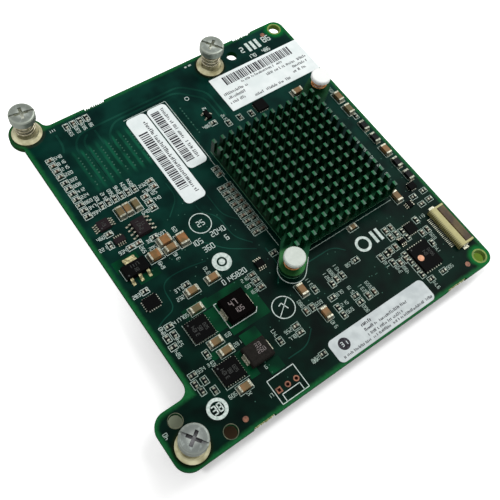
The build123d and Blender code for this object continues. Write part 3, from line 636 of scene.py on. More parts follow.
def teeth(middle, length, edge, depth):
    """Uneven teeth side by side along a step, from its floor towards the edge of the board."""
    count = int(length / tooth_pitch)
    share = (np.arange(count) + 0.5) / count - 0.5
    x = middle + share * (length - tooth_margin)
    half = chips_off.uniform(0.14, 0.3, count)
    tall = chips_off.uniform(0.35, 0.95, count) * depth
    lean = chips_off.uniform(-0.1, 0.1, count)
    turn = 1 if edge else -1
    foot = np.full(count, edge - turn * (depth + tooth_root))
    tip = edge - turn * (depth - tall)
    feet = [np.stack([x + side * half, foot], axis=1) for side in (-turn, turn)]
    tips = [np.stack([x + lean + side * half * 0.4, tip], axis=1) for side in (turn, -turn)]
    return np.stack([*feet, *tips], axis=1)


far_teeth = [teeth(*place, board_depth, far_step_depth) for place in tab_places[:2]]
near_teeth = [teeth(*place, 0.0, near_step_depth) for place in tab_places[2:]]
flat_prisms("far_teeth", far_teeth, tooth_low, tooth_high, torn_finish)
flat_prisms("near_teeth", near_teeth, tooth_low, tooth_high, glass_finish)


# Solder and tinned parts. A hollow wedge of solder runs up to each end of the chip parts, and the small
# ones have tinned caps. The packages without leads have rows of tinned pads beside them.
tin_sockets = {"Metallic": 0.75, "Roughness": 0.42}
tin_finish = mottled("solder", tin_sockets, seen(104, 106, 92), seen(180, 178, 160), 0.35, 0.03)
bright_pair = (seen(132, 136, 124), seen(202, 204, 190))
dull_pair = (seen(84, 88, 78), seen(144, 146, 132))
dull_tin_finish = mottled("dull_solder", tin_sockets, *dull_pair, 0.5, 0.03, far_left=bright_pair)
warm_tin_finish = mottled("warm_tin", tin_sockets, seen(122, 114, 82), seen(196, 188, 146), 0.6, 0.03)


def blocks(*names):
    """Lowest and highest corners of each block of some nodes, in the board's millimetres. A block's
    mesh has four vertices for each of its six faces."""
    sets = []
    for name in names:
        points = np.empty(len(nodes[name].data.vertices) * 3)
        nodes[name].data.vertices.foreach_get("co", points)
        sets.append(on_board(points.reshape(-1, 3)).reshape(-1, 24, 3))
    corners = np.concatenate(sets)
    return corners.min(axis=1), corners.max(axis=1)


def chip_ends(low, high):
    """Foot, outward direction and width of both ends of each chip, which lies along its longer side."""
    size = (high - low)[:, :2]
    middle = (high + low)[:, :2] / 2
    along = (size == size.max(axis=1, keepdims=True)).astype(float)
    width = size.min(axis=1, keepdims=True)
    reach = along * size / 2
    return np.vstack([np.hstack([middle + side * reach, side * along, width]) for side in (-1, 1)])


wedge_rim = 0.03


def solder_wedges(name, ends, reach, height, spread, finish):
    """Hollow solder at chip ends: at the distance t times the reach it stands above its thin rim at the
    height times (1 - t) squared."""
    steps = 5
    share = np.linspace(0, 1, steps)
    foot, out, width = ends[:, 0:2], ends[:, 2:4], ends[:, 4:5]
    side = np.stack([-out[:, 1], out[:, 0]], axis=1)
    half = (width / 2)[:, :, None] * (1 + spread * share)[None, None, :]
    runs_out = foot[:, :, None] + out[:, :, None] * (share * reach)[None, None, :]
    rails = [runs_out + turn * side[:, :, None] * half for turn in (-1, 1)]
    plan = np.stack(rails, axis=1).transpose(0, 1, 3, 2)
    curve = height * (1 - share) ** 2 + wedge_rim
    rise = np.broadcast_to(curve[None, None, :, None], (*plan.shape[:3], 1))
    floor = np.full((*plan.shape[:3], 1), sunk)
    points = np.stack([np.concatenate([plan, level], axis=3) for level in (floor, rise)], axis=1)
    index = np.arange(points.size // 3).reshape(points.shape[:4])
    low_near, low_far = index[:, 0, 0], index[:, 0, 1]
    top_near, top_far = index[:, 1, 0], index[:, 1, 1]
    skins = ((top_near, top_far), (low_far, low_near), (low_near, top_near), (top_far, low_far))
    faces = []
    for one, other in skins:
        quads = np.stack([one[:, :-1], one[:, 1:], other[:, 1:], other[:, :-1]], axis=2)
        faces += quads.reshape(-1, 4).tolist()
    faces += np.stack([low_far[:, 0], top_far[:, 0], top_near[:, 0], low_near[:, 0]], axis=1).tolist()
    faces += np.stack([low_near[:, -1], top_near[:, -1], top_far[:, -1], low_far[:, -1]], axis=1).tolist()
    piece = finished(name, place_on_board(points.reshape(-1, 3)), faces, finish)
    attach(piece, "card")
    return piece


small_low, small_high = blocks("small_capacitors", "chip_resistors")
small_ends = chip_ends(small_low, small_high)
solder_wedges("small_chip_solder", small_ends, 0.3, 0.34, -0.1, dull_tin_finish)
large_end_length = 0.5
large_end_extra = 0.08
body_low, body_high = blocks("large_capacitors", "wide_capacitors", "ferrite_chips")
large_ends = chip_ends(body_low, body_high)
large_ends[:, 0:2] += large_ends[:, 2:4] * large_end_length
large_ends[:, 4] += large_end_extra
solder_wedges("large_chip_solder", large_ends, 0.42, 0.75, -0.05, tin_finish)

# Tinned caps on the small chips, wrapped round both ends of each.
cap_length = 0.29
cap_skin = 0.03
cap_height = 0.53
caps = []
for foot_x, foot_y, out_x, out_y, width in small_ends:
    half = np.array((abs(out_y), abs(out_x))) * (width / 2 + cap_skin)
    inner = np.array((foot_x - out_x * cap_length, foot_y - out_y * cap_length))
    outer = np.array((foot_x + out_x * cap_skin, foot_y + out_y * cap_skin))
    caps.append((*(np.minimum(inner, outer) - half), *(np.maximum(inner, outer) + half)))
flat_prisms("small_chip_caps", [plates(caps)], 0.0, cap_height, dull_tin_finish)

# Pads beyond the packages without leads: a row along each side, in the direction of its axis.
def pad_row(low, high, axis, edge, turn, pitch, length, width):
    """Rectangles along one side of a package, as rows of low and high corners."""
    count = int((high[1 - axis] - low[1 - axis]) / pitch)
    across = (low[1 - axis] + high[1 - axis]) / 2 + (np.arange(count) - (count - 1) / 2) * pitch
    near, far = sorted((edge - turn * 0.1, edge + turn * length))
    ends = np.broadcast_to([[near], [far]], (2, count))
    sides = np.stack([across - width / 2, across + width / 2])
    first, second = (ends, sides) if axis == 0 else (sides, ends)
    return np.stack([first[0], second[0], first[1], second[1]], axis=1)


pad_top = 0.035
pad_rows = []
for node, pitch, pad_length, pad_width in (
    ("regulator_chip_1", 0.65, 0.32, 0.26),
    ("regulator_chip_2", 0.65, 0.32, 0.26),
    ("interface_chip", 0.8, 0.4, 0.36),
    ("flat_chips", 0.6, 0.35, 0.3),
):
    for low, high in zip(*blocks(node)):
        for axis in (0, 1):
            for edge, turn in ((low[axis], -1), (high[axis], 1)):
                pad_rows.append(pad_row(low, high, axis, edge, turn, pitch, pad_length, pad_width))
flat_prisms("package_pads", [plates(np.vstack(pad_rows))], sunk, pad_top, dull_tin_finish)


# White print. Outlines round the chips and generic numbers beside them in thin ink, and bolder marks
# where the real card has larger ones.
ink_sockets = {"Roughness": 0.6, "Specular IOR Level": 0.1}
bright_ink_pair = (seen(176, 198, 188), seen(232, 243, 238))
thin_ink_pair = (seen(124, 150, 138), seen(192, 208, 198))
thin_ink = mottled("thin_print", ink_sockets, *thin_ink_pair, 0.5, 0.01, far_left=bright_ink_pair)
bold_ink = mottled("white_print", ink_sockets, seen(178, 196, 188), seen(222, 234, 228), 0.6, 0.01)
thin_line = 0.145
bold_line = 0.19
segment_lines = {
    "a": (0, 1, 1, 1),
    "b": (1, 1, 1, 0.5),
    "c": (1, 0.5, 1, 0),
    "d": (0, 0, 1, 0),
    "e": (0, 0, 0, 0.5),
    "f": (0, 0.5, 0, 1),
    "g": (0, 0.5, 1, 0.5),
}
digit_segments = ("abcdef", "bc", "abged", "abgcd", "fgbc", "afgcd", "afgedc", "abc", "abcdefg", "abcdfg")
digit_width_share = 0.5
digit_pitch_share = 0.78


def number_bars(text, x, y, height, turn=0, width=thin_line):
    """Rows for bars that draw a number in straight segments, centred on a point and turned in degrees."""
    rows = []
    first = -(len(text) - 1) / 2 * digit_pitch_share * height
    swing = np.exp(1j * np.radians(turn))
    for order, digit in enumerate(text):
        for segment in digit_segments[int(digit)]:
            x0, y0, x1, y1 = segment_lines[segment]
            ends = []
            for along, up in ((x0, y0), (x1, y1)):
                shift_x = first + (order * digit_pitch_share + (along - 0.5) * digit_width_share) * height
                point = (shift_x + 1j * (up - 0.5) * height) * swing + x + 1j * y
                ends += [point.real, point.imag]
            rows.append((*ends, width))
    return rows


def frames(low, high, gap, width=thin_line):
    """Bars round rectangles, a gap away from them."""
    x0, y0 = low[:, 0] - gap, low[:, 1] - gap
    x1, y1 = high[:, 0] + gap, high[:, 1] + gap
    wide = np.full(len(x0), width)
    half = width / 2
    sides = (
        (x0 - half, y0, x1 + half, y0),
        (x1, y0, x1, y1),
        (x1 + half, y1, x0 - half, y1),
        (x0, y1, x0, y0),
    )
    return np.vstack([bars(np.stack([*side, wide], axis=1)) for side in sides])


small_gap = 0.46
large_gap = 0.4
ferrite_gap = 0.25
stretch = np.abs(large_ends[: len(body_low), 2:4]) * large_end_length
full_low = body_low.copy()
full_high = body_high.copy()
full_low[:, :2] -= stretch
full_high[:, :2] += stretch
ferrite_low, ferrite_high = blocks("ferrite_chips")
other_low = full_low[: -len(ferrite_low)]
other_high = full_high[: -len(ferrite_low)]
thin_parts = [
    frames(small_low, small_high, small_gap),
    frames(other_low, other_high, large_gap),
    frames(ferrite_low, ferrite_high, ferrite_gap),
]

# Numbers beside the small chips, each at the first side where it meets no chip, part or bolder mark.
chip_margin = 0.6
part_margin = 0.3
lead_margin = 1.2
chip_low = np.vstack([small_low, full_low])[:, :2]
chip_high = np.vstack([small_high, full_high])[:, :2]
taken_low = [*(chip_low - chip_margin)]
taken_high = [*(chip_high + chip_margin)]
passed_over = ("circuit_board", "host_", "small_cap", "chip_res", "large_cap", "wide_cap", "ferrite")
passed_over += ("cable_cont", "inductor_pl", "logic", "flat_chips")
for node in nodes:
    if not node.startswith(passed_over):
        low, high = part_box(node)
        taken_low.append(on_board(low)[:2] - part_margin)
        taken_high.append(on_board(high)[:2] + part_margin)
for low, high in zip(*blocks("logic_chips", "flat_chips")):
    taken_low.append(low[:2] - lead_margin)
    taken_high.append(high[:2] + lead_margin)
keep_clear = [
    (23.6, 47.6, 30.2, 54.2),
    (22.4, 35.8, 28.2, 41.8),
    (27.6, 16.8, 34.4, 23.6),
    (0.2, 5.8, 6.0, 11.6),
    (57.8, 19.8, 66.0, 25.8),
    (69.0, 88.8, 81.4, 96.0),
    (16.0, 0.6, 24.4, 7.7),
    (21.0, 43.0, 33.0, 47.6),
    (21.2, 32.8, 30.0, 34.8),
    (-12.0, 0.0, 0.6, 15.0),
    (0.0, 0.0, 9.5, 5.6),
]
taken_low += [np.array(area[:2]) for area in keep_clear]
taken_high += [np.array(area[2:]) for area in keep_clear]
number_height = 0.95
number_line = 0.13
number_half = (1.1, 0.5)
number_gap = 0.68
board_margin = 0.8
number_low = np.full(2, board_margin)
number_high = np.array((board_width, board_depth)) - board_margin
number_rows = []
marks = np.random.default_rng(11)
for low, high in zip(chip_low, chip_high):
    middle = (low + high) / 2
    half = (high - low) / 2
    sides = [(0, 1), (0, -1), (1, 0), (-1, 0)]
    for out in sides if half[1] > half[0] else sides[::-1]:
        turn = 90 if out[1] else 0
        text_half = np.array(number_half[::-1] if out[1] else number_half)
        centre = middle + np.array(out) * (half + number_gap + text_half)
        box_low = centre - text_half
        box_high = centre + text_half
        inside_board = (box_low > number_low).all() and (box_high < number_high).all()
        overlap = np.logical_and(np.array(taken_low) < box_high, np.array(taken_high) > box_low)
        clash = overlap.all(axis=1).any()
        if inside_board and not clash:
            number = str(marks.integers(100, 999))
            number_rows += number_bars(number, *centre, number_height, turn, number_line)
            taken_low.append(box_low)
            taken_high.append(box_high)
            break

thin_rows = [
    (40.35, 34.6, 40.35, 66.0, 0.13),
    (45.0, 29.1, 75.0, 29.1, 0.13),
    (40.5, 66.0, 40.5, 88.9, 0.12),
    (27.0, 88.9, 40.5, 88.9, 0.12),
    (7.3, 24.0, 13.9, 24.0, 0.13),
    (7.4, 24.0, 7.4, 30.0, 0.13),
    (7.4, 10.9, 7.4, 17.2, 0.13),
    (7.3, 10.9, 13.9, 10.9, 0.13),
    (2.55, 47.2, 2.55, 50.6, 0.14),
    (2.55, 47.2, 3.4, 46.8, 0.14),
    (76.9, 30.4, 76.9, 66.2, 0.12),
    (83.4, 31.2, 83.4, 39.0, 0.11),
    (83.4, 46.0, 83.4, 53.6, 0.11),
]
small_numbers = [
    ("40", -9.9, 10.1, 1.0, 90),
    ("17", 15.1, 4.1, 0.9, 0),
    ("6", 18.3, 10.4, 0.9, 0),
    ("52", 11.3, 7.6, 0.9, 0),
    ("108", 28.8, 5.0, 0.9, 0),
    ("31", 7.5, 18.3, 0.8, 0),
    ("24", 48.5, 81.0, 0.8, 0),
    ("111", 8.9, 95.9, 0.8, 0),
    ("52", 16.2, 64.9, 0.9, 0),
    ("33", 13.0, 53.6, 0.9, 0),
]
column_numbers = [(str(28 + 7 * step), 79.5, 32.6 + 3.3 * step, 0.9, 90) for step in range(10)]
for numbers in small_numbers + column_numbers:
    number_rows += number_bars(*numbers)
thin_top = 0.03
thin_parts += [bars(thin_rows), bars(number_rows), arc((46.3, 86.5), 0.6, 0.16, steps=20)]
flat_prisms("thin_print", thin_parts, sunk, thin_top, thin_ink)

# Bolder marks: a half ring with two straight ends round the near push pin, a frame round the header, two
# sides of one at the far inductor, numbers in rings, a disc and short bars.
bold_top = 0.034
pin_arc_centre = (39.0, 27.2)
pin_arc_radius = 3.75
pin_arc_reach = 3.2
tangent = pin_arc_radius / 2**0.5
bold_rows = []
for turn in (-1, 1):
    start_x = pin_arc_centre[0] + turn * tangent
    start_y = pin_arc_centre[1] - turn * tangent
    bold_rows.append((start_x, start_y, start_x + pin_arc_reach, start_y + pin_arc_reach, bold_line))
dash_width = 0.5
bold_rows += [
    (52.0, 96.3, 52.7, 96.3, dash_width),
    (53.3, 96.3, 54.2, 96.3, dash_width),
]
bold_paths = [
    [(16.3, 0.9), (24.1, 0.9), (24.1, 7.4), (16.3, 7.4), (16.3, 0.9)],
    [(17.6, 1.1), (17.6, 2.9), (22.7, 2.9), (22.7, 1.1)],
    [(17.6, 30.2), (16.8, 30.2), (16.8, 23.0), (24.6, 23.0), (25.6, 24.1)],
    [(28.6, 18.4), (33.4, 22.0)],
]
first_ring_centre = (26.9, 50.9)
second_ring_centre = (31.0, 20.2)
corner_disc_centre = (3.1, 8.7)
large_disc_centre = (25.3, 38.8)
small_disc_centre = (59.6, 22.8)
bold_numbers = [
    ("25", *first_ring_centre, 1.5, 0, 0.2),
    ("105", 23.0, 46.6, 1.45, 0, 0.18),
    ("2040", 29.4, 46.6, 1.45, 0, 0.18),
    ("360", 24.8, 43.9, 1.45, 0, 0.18),
    ("6", 30.4, 43.9, 1.45, 0, 0.18),
    ("0145820", 25.6, 33.8, 1.35, 0, 0.18),
    ("7", *second_ring_centre, 2.2, 20, 0.24),
    ("170", 72.0, 89.9, 1.2, 0, 0.2),
    ("486", 77.0, 89.9, 1.2, 0, 0.2),
    ("86", 79.5, 93.4, 1.9, 0, 0.32),
    ("2", 70.6, 93.3, 1.9, 0, 0.32),
    ("38", *corner_disc_centre, 1.9, 0, 0.34),
]
for numbers in bold_numbers:
    bold_rows += number_bars(*numbers)
bold_parts = [
    arc(first_ring_centre, 2.9, 0.23),
    arc(second_ring_centre, 2.95, 0.23),
    discs([large_disc_centre], 2.55, 40),
    arc(corner_disc_centre, 2.15, 0.85),
    arc(pin_arc_centre, pin_arc_radius, bold_line, 135, 315, 30),
    arc(small_disc_centre, 1.9, 0.75),
    plates([(63.0, 21.0, 63.9, 24.7), (64.7, 21.0, 65.6, 24.7)]),
    plates([(72.4, 91.6, 73.4, 95.0), (74.1, 91.6, 75.1, 95.0), (75.8, 91.6, 76.8, 95.0)]),
    bars(bold_rows),
    *(path_bars(path, bold_line) for path in bold_paths),
]
flat_prisms("white_print", bold_parts, sunk, bold_top, bold_ink)

# The ring-shaped gap in the largest disc, where the mask shows through.
gap_top = 0.04
gap_sockets = {"Roughness": 0.5, "Specular IOR Level": 0.06}
gap_finish = mottled("print_gaps", gap_sockets, seen(12, 40, 34), seen(20, 56, 46), 2.0, 0.01)
gap_ring = arc(large_disc_centre, 1.1, 0.5, steps=32)
flat_prisms("print_gaps", [gap_ring], sunk, gap_top, gap_finish)


# Captive screws. Turned steel in dull zinc, with fine rings from the lathe on the head. A painted
# highlight pales the middle and the rim of each head; the near screw is painted darker as shaded, and its
# slots are painted dark as shaded recesses, while the far screws' slots are painted pale as lit. The
# ferrules are plated yellow, the springs are wound from round wire, and each thread is a ridge round the
# shank.
slot_deep = 0.75
slot_shallow = 0.1
slot_reach = 2.8
head_rim = (2.7, 3.3)
highlight_reach = (0.6, 2.6)
lathe_pitch = 0.2
lathe_depth = 0.007
far_screws = (20, 80)
screw_finish = surface("zinc", {"Metallic": 0.85})
screw_x, screw_y, screw_z = board_axes(screw_finish)
from_axis = distance_from(screw_x, screw_y, screws[0])
for place in screws[1:]:
    from_axis = from_axis.least(distance_from(screw_x, screw_y, place))
screw_tone = screw_finish.noise(2.4 * mm, 2.0)
scuffs = screw_finish.smooth(screw_finish.noise(1.1 * mm, 3.0), 0.5, 0.8)
# Painted highlight: each head is paler in its mottled middle, and paler again at the rim.
head_highlight = screw_finish.smooth(from_axis + screw_tone * 0.8, *highlight_reach)
highlighted_zinc = screw_finish.blend(head_highlight, seen(182, 188, 180), seen(118, 124, 117))
rim_highlight = screw_finish.smooth(from_axis, *head_rim)
zinc_colour = screw_finish.blend(rim_highlight, highlighted_zinc, seen(156, 163, 152))
head_top = on_board(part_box("captive_screw_1")[1])[2]
above_slot = screw_finish.smooth(screw_z, head_top - slot_deep, head_top - slot_shallow)
in_slot = (1.0 - above_slot) * (from_axis < slot_reach)
# Painted light and shade: the near screw's zinc is darker as shaded, and its slots dark as shaded
# recesses; the far screws' slots are painted pale as lit.
screw_far = screw_finish.smooth(screw_y, *far_screws)
shaded_near_zinc = screw_finish.blend(0.4, zinc_colour, seen(84, 88, 92))
zinc_colour = screw_finish.blend(screw_far, shaded_near_zinc, zinc_colour)
slot_light_and_shade = screw_finish.blend(screw_far, seen(98, 95, 100), seen(212, 214, 200))
zinc_colour = screw_finish.blend(in_slot * 0.8, zinc_colour, slot_light_and_shade)
screw_finish.set({"Base Color": screw_finish.blend(scuffs * 0.5, zinc_colour, seen(168, 176, 172))})
screw_finish.set({"Roughness": 0.36 + screw_tone * 0.25})
screw_finish.bump((from_axis * (2 * np.pi / lathe_pitch)).sine(), lathe_depth * mm)
ferrule_sockets = {"Metallic": 1.0, "Roughness": 0.38}
ferrule_pair = (seen(150, 144, 110), seen(206, 202, 168))
ferrule_finish = mottled("yellow_zinc", ferrule_sockets, *ferrule_pair, 2.8, 0.02)
wire_sockets = {"Metallic": 1.0, "Roughness": 0.3}
wire_finish = mottled("spring_wire", wire_sockets, seen(132, 126, 104), seen(186, 180, 156), 0.8, 0.01)


def coil(name, centre, low, high, radius, wire, turns, finish):
    """Round wire wound into an open coil: at the share t of its length its middle is at the angle
    2 pi turns t on a circle, and rises from the lower end to the upper one."""
    steps_a_turn = 40
    along_steps = int(turns * steps_a_turn)
    round_steps = 12
    angle = 2 * np.pi * turns * np.linspace(0, 1, along_steps + 1)[:, None]
    turn = 2 * np.pi * np.arange(round_steps)[None, :] / round_steps
    rise = (high - low - wire) * np.linspace(0, 1, along_steps + 1)[:, None]
    reach = radius - wire / 2 + wire / 2 * np.cos(turn)
    x = centre[0] + reach * np.cos(angle)
    y = centre[1] + reach * np.sin(angle)
    z = low + wire / 2 + rise + wire / 2 * np.sin(turn) + 0 * angle
    points = np.stack([x, y, z], axis=2).reshape(-1, 3)
    index = np.arange((along_steps + 1) * round_steps).reshape(along_steps + 1, round_steps)
    ahead = np.roll(index, -1, axis=1)
    quads = np.stack([index[:-1], index[1:], ahead[1:], ahead[:-1]], axis=2).reshape(-1, 4).tolist()
    faces = quads + [index[0].tolist(), index[-1, ::-1].tolist()]
    piece = finished(name, place_on_board(points), faces, finish)
    piece.data.shade_smooth()
    return piece


coil_radius = 2.8
coil_wire = 0.6
coil_turns = 3.5
thread_low = -1.5
thread_high = 0.9
thread_radius = 1.6
thread_ridge = 0.28
thread_pitch = 0.5
thread_turns = (thread_high - thread_low) / thread_pitch
coil_sizes = (coil_radius, coil_wire, coil_turns)
thread_sizes = (thread_low, thread_high, thread_radius, thread_ridge, thread_turns)
for number, place in enumerate(screws, start=1):
    dress(screw_finish, f"captive_screw_{number}")
    dress(ferrule_finish, f"screw_ferrule_{number}")
    spring_low, spring_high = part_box(f"screw_spring_{number}")
    low_z = on_board(spring_low)[2]
    high_z = on_board(spring_high)[2]
    press = next(joint for joint in frame["joints"] if joint["name"] == f"screw_{number}_press")
    pressed = max(abs(limit) for limit in press["range_m"]) / (spring_high.z - spring_low.z)
    piece = coil(f"screw_coil_{number}", place, low_z, high_z, *coil_sizes, wire_finish)
    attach(piece, "card")
    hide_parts(f"screw_spring_{number}")
    1 - pressed
    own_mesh(piece)
    thread = coil(f"screw_thread_{number}", place, *thread_sizes, screw_finish)
    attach(thread, f"screw_{number}")


# Heat sink. Aluminium extrusion, sawn across into pins and anodised dark green. Its pin tops are painted
# paler as lit faces, with a painted sheen from green to grey across each, and its pin sides and base are
# painted dark as shaded, a little lighter at the near side. The lug faces round the push pins are painted
# lighter at the near lug and darker at the far one, and a painted highlight runs along the base's lower
# edge. It stands over the controller, and its two lugs are held down by the push pins.
sink_finish = surface("green_anodising", {"Metallic": 0.5, "Roughness": 0.4, "Specular IOR Level": 0.1})
sink_tone = sink_finish.noise(1.4 * mm, 3.0)
sink_x, sink_y, sink_z = board_axes(sink_finish)
pin_pitch = 2.765
pin_column_place = 41.32
pin_row_place = 30.2
push_pin_places = [(38.6, 27.5), (80.0, 68.9)]
pin_tops = (7.3, 7.5)
base_rim = (2.1, 2.5)
lug_rim = (3.9, 5.0)
lug_floor = (3.3, 3.55)
lug_limit = (3.7, 4.6)
near_sink = (30, 44)
far_lug = (30, 60)
across = (sink_x - pin_column_place) * (2 * np.pi / pin_pitch)
along = (sink_y - pin_row_place) * (2 * np.pi / pin_pitch)
# Painted sheen: across each pin top the colour runs from green to grey.
pin_top_sheen = sink_finish.smooth(across.sine() - along.sine() * 0.5 + sink_tone * 1.2, -0.3, 1.4)
# Painted shade on the pin sides and base, and painted light on the pin tops.
shaded_sink_side = sink_finish.blend(sink_tone, seen(2, 26, 13), seen(8, 50, 30))
lit_sink_top = sink_finish.blend(pin_top_sheen, seen(26, 78, 50), seen(64, 80, 72))
# The near sides are painted a little lighter, as lit.
sink_near = 1.0 - sink_finish.smooth(sink_y, *near_sink)
shaded_sink_side = sink_finish.blend(sink_near * 0.3, shaded_sink_side, seen(12, 70, 44))
sink_colour = sink_finish.blend(sink_finish.smooth(sink_z, *pin_tops), shaded_sink_side, lit_sink_top)
from_push_pins = [distance_from(sink_x, sink_y, place) for place in push_pin_places]
# Painted light and shade on the lug faces round the push pins: lighter at the near lug, darker at the far
# one.
round_pin = 1.0 - sink_finish.smooth(from_push_pins[0].least(from_push_pins[1]), *lug_rim)
lug_share = round_pin * sink_finish.smooth(sink_z, *lug_floor)
lug_share = lug_share.least(1.0 - sink_finish.smooth(sink_z, *lug_limit))
lug_light_and_shade = sink_finish.blend(sink_finish.smooth(sink_y, *far_lug), seen(40, 84, 46), seen(12, 50, 28))
sink_colour = sink_finish.blend(lug_share, sink_colour, lug_light_and_shade)
# Painted highlight along the base's lower edge.
base_edge_highlight = sink_finish.blend(sink_tone, seen(70, 136, 98), seen(120, 176, 142))
rim_share = 1.0 - sink_finish.smooth(sink_z, *base_rim)
sink_finish.set({"Base Color": sink_finish.blend(rim_share * 0.85, sink_colour, base_edge_highlight)})
sink_finish.bump(sink_finish.noise(0.2 * mm), 0.02 * mm)
dress(sink_finish, "heat_sink")


# Push pins. White nylon with split tips that catch below the board. Coils of copper-coloured wire push
# their heads up and the sink's lugs down.
nylon_sockets = {
    "Roughness": 0.45,
    "Subsurface Weight": 0.2,
    "Subsurface Radius": (0.002,) * 3,
    "Subsurface Scale": 1.0,
}
nylon_finish = surface("nylon", nylon_sockets)
far_pin = (50, 75)
pin_coil_radius = 2.3
pin_coil_wire = 0.42
pin_coil_turns = 2.5
pin_coil_sizes = (pin_coil_radius, pin_coil_wire, pin_coil_turns)
nylon_tone = nylon_finish.noise(1.6 * mm)
nylon_colour = nylon_finish.blend(nylon_tone, seen(184, 194, 184), seen(214, 222, 213))
# Painted light: the far pin's nylon is painted near white, as blown out by the light.
far_pin_glare = nylon_finish.smooth(board_axes(nylon_finish)[0], *far_pin)
nylon_finish.set({"Base Color": nylon_finish.blend(far_pin_glare, nylon_colour, seen(246, 249, 245))})
nylon_finish.bump(nylon_tone, 0.01 * mm)
amber_finish = mottled("copper_wire", wire_sockets, seen(150, 96, 52), seen(206, 152, 104), 0.8, 0.01)
for number in (1, 2):
    dress(nylon_finish, f"push_pin_{number}")
    low, high = [on_board(corner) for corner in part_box(f"push_pin_spring_{number}")]
    middle = (low + high) / 2
    piece = coil(f"push_pin_coil_{number}", middle[:2], low[2], high[2], *pin_coil_sizes, amber_finish)
    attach(piece, "card")
    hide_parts(f"push_pin_spring_{number}")


# Power inductors. Pressed iron powder, black and slightly rough, with folded tinned plates and a plain
# number in grey on top.
powder_sockets = {"Roughness": 0.6, "Specular IOR Level": 0.02}
powder_finish = surface("pressed_powder", powder_sockets)
far_inductor = (17.5, 19.0)
powder_tone = powder_finish.noise(0.5 * mm, 4.0)
powder_black = powder_finish.blend(powder_tone, seen(5, 4, 4), seen(17, 14, 14))
powder_grey = powder_finish.blend(powder_tone, seen(26, 25, 24), seen(50, 48, 45))
powder_share = powder_finish.smooth(board_axes(powder_finish)[1], *far_inductor)
powder_finish.set({"Base Color": powder_finish.blend(powder_share, powder_grey, powder_black)})
powder_finish.bump(powder_tone, 0.05 * mm)
dress(powder_finish, "power_inductor_1", "power_inductor_2")
mark_finish = mottled("grey_mark", ink_sockets, seen(96, 90, 90), seen(150, 140, 138), 0.4, 0.01)
first_numbers = [("47", 20.4, 27.4, 1.5, 0, 0.22), ("105", 20.8, 25.3, 1.2, 0, 0.18)]
second_numbers = [("33", 19.2, 15.5, 1.1, 0, 0.16), ("260", 19.3, 14.0, 1.0, 0, 0.15)]


def number_group(rows):
    """Bars of several numbers."""
    return bars(sum((number_bars(*row) for row in rows), []))


def chip_marks(name, node, groups, finish, lift=0.012):
    """Thin marks on the top face of a node."""
    top = on_board(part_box(node)[1])[2]
    return flat_prisms(name, groups, top + sunk, top + lift, finish)


for number, rows in enumerate((first_numbers, second_numbers), start=1):
    name = f"inductor_mark_{number}"
    chip_marks(name, f"power_inductor_{number}", [number_group(rows)], mark_finish)


# Chip packages. Black moulding compound, marked faintly by a laser with numbers and a dot at pin 1. The
# memory chip and the narrow chip are a browner black.
brown_low = (3.0, 54.5)
brown_high = (16.5, 66.0)
brown_rounding = 1.0
moulding_sockets = {"Roughness": 0.55, "Specular IOR Level": 0.03}
moulding_finish = surface("moulding", moulding_sockets)
moulding_x, moulding_y, _ = board_axes(moulding_finish)
moulding_tone = moulding_finish.noise(0.3 * mm, 3.0)
in_brown = lies_in_plate(moulding_x, moulding_y, brown_low, brown_high, brown_rounding)
brown_share = moulding_finish.smooth(in_brown, -0.2, 0.2)
moulding_black = moulding_finish.blend(moulding_tone, seen(9, 10, 10), seen(20, 21, 21))
moulding_brown = moulding_finish.blend(moulding_tone, seen(34, 29, 31), seen(50, 44, 46))
moulding_finish.set({"Base Color": moulding_finish.blend(brown_share, moulding_black, moulding_brown)})
moulding_finish.bump(moulding_tone, 0.02 * mm)
dress(moulding_finish, "regulator_chip_1", "regulator_chip_2", "interface_chip", "flat_chips")
dress(moulding_finish, "memory_chip", "narrow_chip", "linear_regulator", "logic_chips", "transistor")
laser_finish = mottled("laser_mark", ink_sockets, seen(52, 55, 53), seen(82, 84, 82), 0.3, 0.01)
dot_finish = mottled("copper_dot", copper_sockets, seen(180, 124, 92), seen(220, 162, 126), 0.8, 0.01)
regulator_numbers = [
    ("3104", 9.2, 26.8, 0.9, 90, 0.13),
    ("86", 10.6, 26.8, 0.9, 90, 0.13),
    ("520", 12.0, 26.6, 0.8, 90, 0.12),
]
near_regulator_shift = (-0.1, -12.55)
near_numbers = [
    (text, x + near_regulator_shift[0], y + near_regulator_shift[1], *rest)
    for text, x, y, *rest in regulator_numbers
]
memory_numbers = [("2401", 13.0, 58.0, 0.9, 90, 0.13), ("77", 14.2, 58.0, 0.8, 90, 0.12)]
linear_numbers = [("1117", 6.0, 49.2, 0.9, 0, 0.13), ("30", 6.0, 47.9, 0.8, 0, 0.12)]
narrow_numbers = [("64", 5.8, 63.4, 0.9, 90, 0.12)]
interface_numbers = [("84", 71.6, 11.6, 1.0, 90, 0.14), ("5020", 73.0, 11.0, 0.8, 90, 0.12)]
for name, node, numbers, dot, dot_radius in (
    ("regulator_marks_1", "regulator_chip_1", regulator_numbers, (8.4, 28.9), 0.25),
    ("regulator_marks_2", "regulator_chip_2", near_numbers, (8.3, 16.2), 0.25),
    ("memory_marks", "memory_chip", memory_numbers, (12.1, 56.2), 0.22),
    ("linear_marks", "linear_regulator", linear_numbers, (3.5, 47.4), 0.22),
    ("narrow_marks", "narrow_chip", narrow_numbers, (4.8, 62.5), 0.22),
    ("interface_marks", "interface_chip", interface_numbers, (68.8, 14.1), 0.22),
):
    groups = [number_group(numbers), discs([dot], dot_radius)]
    chip_marks(name, node, groups, laser_finish)
dot_group = [discs([(69.5, 11.0)], 0.88, 28)]
chip_marks("interface_dot", "interface_chip", dot_group, dot_finish)

